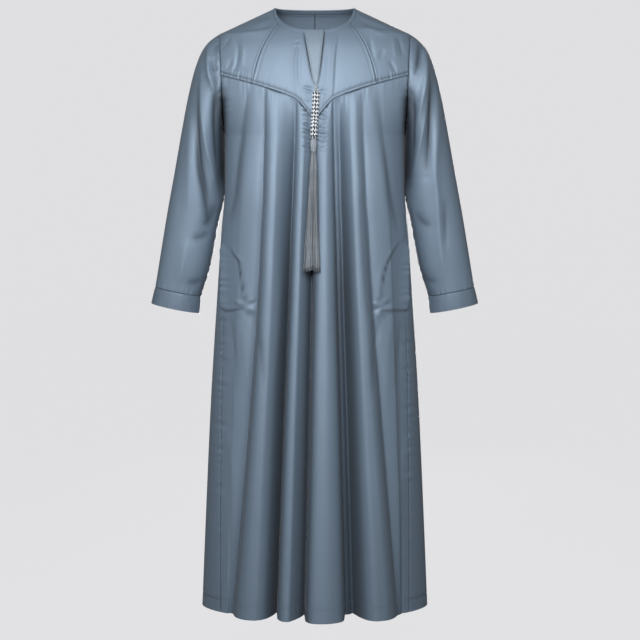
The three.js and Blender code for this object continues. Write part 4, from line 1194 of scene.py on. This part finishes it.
ring_gap = np.linalg.norm(np.diff(sleeve_rings[:, :4], axis=0), axis=1) / 1.3
ring_run = np.concatenate([[0], ring_gap.cumsum()])
sleeve_run = ring_run[-1] * fine_shares(ring_run[-1], 3.6)
sleeve_columns = [smooth_table(ring_run, sleeve_rings[:, i])(sleeve_run) for i in range(5)]
sleeve_rows = np.stack(sleeve_columns, 1)
scoop = ARM["scoop"] * np.clip(1 - sleeve_run / ring_run[1], 0, 1)
sleeve_plan = ring_points(sleeve_rows, scoop)
right_sleeve_creases = [
    ([(-222, -150), (-228, -230), (-226, -320), (-219, -430)], 9, -4.4, 0),
    ([(-246, -82), (-243, -130), (-238, -180)], 6, 3.6, 0.2),
    ([(-216, -70), (-232, -110), (-228, -180)], 5, -1.6, 0),
    ([(-261, -142), (-263, -225), (-253, -318), (-237, -380), (-231, -411)], 7, 3.2, 0.2),
    ([(-269, -172), (-273, -265), (-266, -369), (-254, -432), (-246, -500)], 7, -4.5, 0),
    ([(-246, -103), (-245, -145), (-233, -184), (-224, -202)], 7, 2.4, 0),
    ([(-241, -117), (-229, -152)], 6, -2.2, 0),
    ([(-286, -250), (-292, -360), (-296, -470)], 9, 1.8, 0),
    ([(-228, -455), (-243, -492), (-262, -508)], 8, -1.8, 0),
    ([(-246, -520), (-264, -534), (-286, -536)], 8, -1.6, 0),
    ([(-262, -630), (-279, -642), (-300, -640)], 8, -1.6, 0),
    ([(-300, -540), (-310, -600), (-318, -645)], 8, 1.6, 0),
]
left_sleeve_creases = [
    ([(222, -190), (228, -240), (226, -310), (219, -410)], 9, -4.4, 0),
    ([(246, -78), (240, -130), (222, -190)], 5, -3.4, 0),
    ([(256, -92), (254, -150), (246, -215), (232, -290)], 6, 4.2, 0.2),
    ([(244, -131), (220, -190)], 6, 2.2, 0),
    ([(260, -142), (257, -225), (252, -276), (240, -339), (224, -399)], 7, 3.2, -0.2),
    ([(284, -184), (284, -265), (280, -369), (287, -455), (295, -558), (303, -621)], 8, 2.8, 0),
    ([(272, -170), (270, -225), (268, -285), (262, -390)], 7, -4.5, 0),
    ([(304, -443), (307, -558)], 8, -2.0, 0),
    ([(236, -476), (252, -500), (272, -506)], 8, -1.6, 0),
    ([(250, -626), (266, -638), (288, -640)], 8, -1.6, 0),
]
SLEEVE_SOFTNESS, BODY_SIDE = 1.3, 210.0
for sign, side, lines in ((1, "left", left_sleeve_creases), (-1, "right", right_sleeve_creases)):
    panel = Panel(sleeve_plan * [sign, 1, 1], closed=True)
    px, pz = panel.grid[..., 0], panel.grid[..., 2]
    before = np.clip(-panel.normals[..., 1] * 2 + 0.2, 0, 1)
    behind = np.clip(panel.normals[..., 1] * 2 + 0.2, 0, 1)
    soft = [(path, SLEEVE_SOFTNESS * width, height, lean) for path, width, height, lean in lines]
    moved = [([(x + 7 * sign, z - 26) for x, z in path], w, h, -g) for path, w, h, g in soft]
    folds = 2.0 * crease_field(px, pz, soft) * before + crease_field(px, pz, moved) * behind
    panel.lift(folds)
    # Painted shade in the hollows of the folds.
    panel.shade = 0.75 * np.clip(-folds / 7, 0, 1)
    turn = np.broadcast_to(around * 60, px.shape)
    at_cuff = ripples(panel.bottom, turn, 17, 0.9, 12, 14)
    panel.lift(ripples(panel.top, turn, 15, 1.1, 16, 13) + at_cuff)
    inner_gap = np.minimum(panel.first, panel.first[:, -1:] - panel.first)
    panel.lift(ripples(inner_gap, panel.top, 21, 0.7, 14, 15))
    # Sunk armhole and cuff seams, with painted shade along each.
    panel.groove(panel.top, 1.2, 2.4, 0.3)
    panel.groove(panel.bottom, 0.8, 1.5, 0.4)
    # Painted shade where the sleeve hangs against the body and along its inner edge, for the shadow
    # under the arm.
    beside_body = np.clip((-150 - pz) / 60, 0, 1) * np.clip((pz + 480) / 90, 0, 1)
    armpit_painted_shade = beside_body * np.exp(-(((abs(px) - BODY_SIDE) / 20) ** 2))
    inner_edge_painted_shade = 0.6 * np.clip((-150 - pz) / 60, 0, 1) * np.exp(-((inner_gap / 26) ** 2))
    panel.shade = np.maximum(panel.shade, np.maximum(armpit_painted_shade, inner_edge_painted_shade))
    sew_piece(f"sleeve_{side}_cloth", panel, f"sleeve_{side}")
print("sleeve rows:", len(sleeve_rows))

# %% [markdown]
# ## Cuffs
# A cuff is a double band sewn to the sleeve's end. Two sunk lines, 4 mm from its edges, are its
# rows of stitches, with painted shade along them, and the whole cuff gets a little painted shade
# because it faces down.

# %% Cuffs
cuff_ends = np.array([(377.5, -653, 269.5, -675, 41), (387, -692, 274, -715, 40)])
cuff_down = fine_shares(40, 2.4, (0.8, 1.8, 3.0))
cuff_rows = cuff_ends[0] + (cuff_ends[1] - cuff_ends[0]) * cuff_down[:, None]
cuff_plan = ring_points(cuff_rows, 0 * cuff_down)
for sign, side in ((1, "left"), (-1, "right")):
    panel = Panel(cuff_plan * [sign, 1, 1], closed=True)
    turn = np.broadcast_to(around * 48, panel.top.shape)
    puff = 0.5 * np.sin(np.pi * np.clip(panel.top / panel.top[-1], 0, 1)) ** 0.5
    panel.lift(0.3 + puff + ripples(panel.top, turn, 9, 0.4, 8, 16))
    panel.lift(ripples(panel.bottom, turn, 14, 0.5, 10, 17))
    # Painted shade over the whole cuff, because it faces down.
    panel.shade += 0.2
    panel.groove(panel.top, 0.8, 1.2, 0.5)
    panel.groove(panel.top - 4, 0.4, 1.0, 0.35)
    panel.groove(panel.bottom - 4, 0.5, 1.0, 0.35)
    sew_piece(f"cuff_{side}_cloth", panel, f"cuff_{side}", wall=1.8)

# %% [markdown]
# ## Neck binding
# The binding is a straight strip folded over the raw neck edge and stitched through. It runs from
# one side of the tongue, over both shoulders and round the back, and it catches the light because
# its folded edge is rounded.


# %% Neck binding
def binding_station(angle, reach, drop, side):
    x, z = neckline(angle, reach, drop)
    table, way = (front, -1) if side == "front" else (back, 1)
    return np.stack([x, way * plain_depth(x, z, table), z], -1)


binding_reach = np.array([0, 0.06, 0.18, 0.4, 0.6, 0.78, 0.9, 1.0])
front_turn = np.linspace(1, 0, 90) ** 1.5
back_turn = np.linspace(0, 1, 110)[1:] ** 1.5 * np.pi / 2
start_angle = math.acos((21.5 / NECK_X) ** 1.15)
reach = binding_reach[:, None] + 0 * front_turn
left_front = binding_station(start_angle * front_turn + 0 * reach, reach, NECK_DROP, "front")
reach = binding_reach[:, None] + 0 * back_turn
left_back = binding_station(back_turn + 0 * reach, reach, 2, "back")
half = np.concatenate([left_front, left_back], 1)
whole = np.concatenate([half, half[:, -2::-1] * [-1, 1, 1]], 1)
binding = Panel(whole)
crown = 0.35 + 0.5 * np.sin(np.pi * np.clip(binding.top / binding.top[-1], 0.02, 0.98)) ** 0.6
binding.lift(crown)
# A sunk stitch line with painted shade along it.
binding.groove(binding.bottom - 1.2, 0.35, 0.7, 0.35)
sew_piece("neck_binding_cloth", binding, "neck_binding", wall=2.2)

# %% [markdown]
# ## The placket tongue
# The tongue is a tapered double strip that covers the front slit. It is a slightly hairier, paler
# cloth with an edge stitch all round, and it stands about 3 mm off the yoke. A thin dark line of
# shadow is painted on the yoke under each of its edges.

# %% Tongue
tongue_down = fine_shares(118, 2.2, (0.8, 1.8, 3))
tongue_across = fine_shares(46, 1.9, (0.8, 1.6, 2.6))
v = tongue_down[:, None]
left_x, right_x = 22 + (8.8 - 22) * v, -24.5 + (-3 + 24.5) * v
tongue_x = right_x + (left_x - right_x) * tongue_across
tip_drop = 5.7 * np.clip(1 - abs(tongue_across - 0.5) / 0.5, 0, 1) ** 0.8
tongue_z = -53 - (173 - 53) * v - tip_drop * np.clip((v - 0.6) / 0.4, 0, 1) ** 2
tongue = Panel(np.stack([tongue_x, -plain_depth(tongue_x, tongue_z) - 3.0, tongue_z], -1))
edge_gap = np.minimum(np.minimum(tongue.first, tongue.last), tongue.bottom)
tongue.lift(-0.7 * np.exp(-((edge_gap / 1.1) ** 2)))
tongue.lift(ripples(edge_gap - 3, tongue.top, 9, 0.25, 3, 18))
# A sunk stitch line with painted shade along it.
tongue.groove(edge_gap - 3.0, 0.35, 0.7, 0.3)
sew_piece("placket_tongue_cloth", tongue, "placket_tongue", tongue_cloth, "tongue_cloth", wall=1.8)

# %% [markdown]
# ## Pocket bags
# Each pocket is a flat bag behind the front, sewn round its curved edge. It is mostly hidden: it
# shows only through the slit at the side seam, so it is left plain.

# %% Pocket bags
pocket_rows = np.array(
    [(-557, 195), (-578, 179.5), (-603, 167), (-634, 160.5), (-668, 156), (-697, 153)], float
)
bag_z = -557 - 140 * fine_shares(140, 4.5)
bag_edge = smooth_table(-pocket_rows[:, 0], pocket_rows[:, 1])(-bag_z)
bag_across = np.linspace(0, 1, 14)
for sign, side in ((1, "left"), (-1, "right")):
    rows = front_points(bag_z, fold_places)
    bag = np.empty((len(bag_z), len(bag_across), 3))
    for j, row in enumerate(rows):
        outside = row[sign * row[:, 0] > 120]
        outside = outside[np.argsort(sign * outside[:, 0])]
        x = bag_edge[j] + (float(edge_x(bag_z[j])) - 5 - bag_edge[j]) * bag_across
        bag[j, :, 1] = np.interp(x, sign * outside[:, 0], outside[:, 1]) + 5.0
        bag[j, :, 0], bag[j, :, 2] = sign * x, np.interp(x, sign * outside[:, 0], outside[:, 2])
    sew_piece(f"pocket_bag_{side}_cloth", Panel(bag), f"pocket_bag_{side}")

# %% [markdown]
# ## Topstitching
# Rows of real stitches lie in the sunk lines: each is a small rounded bar about 2 mm long with a
# gap of 1 mm, laid on the cloth's own surface. All rows are joined into one mesh.


# %% Stitches
def row_from(panel, gap, distance):
    """Points and normals along a line at a set distance from an edge of a panel."""
    points, normals = panel.grid, panel.normals
    if gap is panel.first or gap is panel.last:
        points, normals, gap = (np.swapaxes(a, 0, 1) for a in (points, normals, gap))
    order = slice(None) if gap[0].mean() < gap[-1].mean() else slice(None, None, -1)
    points, normals, gap = points[order], normals[order], gap[order]
    k = np.clip((gap < distance).sum(axis=0), 1, len(gap) - 1)
    cols = np.arange(points.shape[1])
    low, high = gap[k - 1, cols], gap[k, cols]
    f = np.clip((distance - low) / np.maximum(high - low, 1e-6), 0, 1)[:, None]
    line = points[k - 1, cols] * (1 - f) + points[k, cols] * f
    return line, unit(normals[k - 1, cols] * (1 - f) + normals[k, cols] * f)


def row_over(panel, path):
    """Points and normals above a line drawn on the front view."""
    curve = smooth_path([(x, z, 0) for x, z in path], 60)[:, :2]
    flat = panel.grid[..., (0, 2)].reshape(-1, 2)
    fronts = panel.normals[..., 1].ravel() < -0.2
    points, normals = panel.grid.reshape(-1, 3)[fronts], panel.normals.reshape(-1, 3)[fronts]
    gap = np.linalg.norm(flat[fronts][None] - curve[:, None], axis=2)
    best = np.argsort(gap, axis=1)[:, :4]
    weight = 1 / (np.take_along_axis(gap, best, 1) + 0.3) ** 2
    weight = (weight / weight.sum(axis=1, keepdims=True))[..., None]
    line = (points[best] * weight).sum(axis=1)
    line[:, 0], line[:, 2] = curve[:, 0], curve[:, 1]
    return line, unit((normals[best] * weight).sum(axis=1))


stitch_lines, stitch_out = [], []


def stitch_row(line, normals, start=0.0, end=1.0, length=2.1, gap=1.1):
    steps = np.linalg.norm(np.diff(line, axis=0), axis=1)
    run = np.concatenate([[0], steps.cumsum()])
    at = lambda s, values: np.stack([np.interp(s, run, values[:, i]) for i in range(3)], -1)
    for s in np.arange(run[-1] * start + 0.5, run[-1] * end - length, length + gap):
        middle = at(np.array([s, s + length / 2, s + length]), line)
        out = unit(at(np.array([s, s + length / 2, s + length]), normals))
        stitch_lines.append(middle + out * np.array([[-0.05], [0.28], [-0.05]]))
        stitch_out.append(out)


stitch_row(*row_from(yoke_centre, yoke_centre.bottom, BAND))
stitch_row(*row_from(yoke_centre, yoke_centre.bottom, 1.7))
stitch_row(*row_from(yoke_centre, yoke_centre.first, 8.0))
stitch_row(*row_from(yoke_centre, yoke_centre.last, 8.0))
for panel in yoke_sides.values():
    stitch_row(*row_from(panel, panel.bottom, BAND))
    stitch_row(*row_from(panel, panel.bottom, 1.7))
stitch_row(*row_from(binding, binding.bottom, 1.2))
stitch_row(*row_from(front_skirt, front_skirt.bottom, HEM), length=2.6, gap=1.4)
for gap in (tongue.first, tongue.last):
    stitch_row(*row_from(tongue, gap, 3.0))
stitch_row(*row_from(tongue, tongue.bottom, 3.0), start=0.1, end=0.9)
for path in pocket_lines:
    stitch_row(*row_over(front_skirt, path))
for (x0, z0), (x1, z1) in bar_tacks:
    for k in np.linspace(0, 1, 12):
        x, z = x0 + (x1 - x0) * k, z0 + (z1 - z0) * k
        across = np.array([(z1 - z0), -(x1 - x0)]) / math.hypot(x1 - x0, z1 - z0) * 1.3
        middle = np.array([x, z])
        line, normals = row_over(front_skirt, [middle - across, middle + across])
        stitch_row(line, normals, length=2.0, gap=0.4)
stitch_radii = np.full((len(stitch_lines), 3), 0.26) * [0.7, 1, 0.7]
stitch_mesh = tube_mesh("topstitching", stitch_lines, stitch_radii, 4, np.array(stitch_out))
stitches = place("topstitching", stitch_mesh, [sewing_thread], "robe_cloth")
print("stitches:", len(stitch_lines))

# %% [markdown]
# ## Studio
# A pale round sweep of paper is floor, wall and roof in one, so no line shows where they meet from
# any side. One large soft light above the camera shapes the folds, two weak ones light the sides,
# and an even grey world keeps the shadows open.

# %% Studio
FLOOR, CURVE, WALL, ROOF, TURNS = -1.62, 1.5, 8.0, 5.0, 72
sweep_profile = [(0.001, FLOOR), (WALL - CURVE, FLOOR)]
for a in np.linspace(0.08, np.pi / 2, 20):
    sweep_profile.append((WALL - CURVE + CURVE * math.sin(a), FLOOR + CURVE * (1 - math.cos(a))))
for a in np.linspace(0.0, np.pi / 2 - 0.0005, 16):
    sweep_profile.append((WALL * math.cos(a), ROOF + WALL * 0.5 * math.sin(a)))
sweep_points, sweep_faces = [], []
for ring, (reach, height) in enumerate(sweep_profile):
    for turn in range(TURNS):
        angle = 2 * math.pi * turn / TURNS
        sweep_points.append((reach * math.cos(angle), reach * math.sin(angle), height))
        if ring:
            before, here = (ring - 1) * TURNS, ring * TURNS
            beside = (turn + 1) % TURNS
            sweep_faces.append((before + turn, before + beside, here + beside, here + turn))
sweep_mesh = bpy.data.meshes.new("paper_sweep")
sweep_mesh.from_pydata(sweep_points, [], sweep_faces)
sweep_mesh.polygons.foreach_set("use_smooth", [True] * len(sweep_faces))
sweep = bpy.data.objects.new("paper_sweep", sweep_mesh)
bpy.context.scene.collection.objects.link(sweep)
paper_settings = {"Roughness": 1.0, "Specular_IOR_Level": 0.0, "Emission_Strength": 0.97}
paper = Finish("pale_paper", Emission_Color=tint(226, 226, 228), **paper_settings)
grain = paper.noise(paper.add("ShaderNodeTexCoord", None, None, output=3), 30, 3.0)
paper.drive("Base Color", paper.mix(grain, tint(42, 42, 43), tint(46, 46, 47)))
sweep_mesh.materials.append(paper.material)
sweep.visible_diffuse = sweep.visible_glossy = sweep.visible_shadow = False


def soft_light(name, place_at, aim, size, power, spread=180):
    data = bpy.data.lights.new(name, "AREA")
    data.spread = math.radians(spread)
    data.shape, data.size, data.energy = "SQUARE", size, power
    light = bpy.data.objects.new(name, data)
    light.location = place_at
    way = np.array(aim, float) - place_at
    light.rotation_euler = (
        math.pi / 2 - math.atan2(-way[2], math.hypot(way[0], way[1])),
        0,
        math.atan2(way[1], way[0]) - math.pi / 2,
    )
    light.visible_camera = False
    bpy.context.scene.collection.objects.link(light)
    return light


soft_light("key_light", (-0.15, -2.4, 0.35), (0, 0, -0.4), 1.2, 73)
soft_light("left_light", (2.7, -1.5, 0.2), (0, 0, -0.6), 1.5, 8)
soft_light("right_light", (-2.7, -1.5, 0.2), (0, 0, -0.6), 1.5, 11)
soft_light("back_light", (0.2, 3.6, -0.5), (0, 0, -0.7), 1.8, 62, spread=75)
world = bpy.data.worlds.new("studio_world")
world.use_nodes = True
world.node_tree.nodes["Background"].inputs["Color"].default_value = (0.07, 0.07, 0.072, 1)
bpy.context.scene.world = world
bpy.context.scene.view_settings.view_transform = "Standard"
print("studio ready")
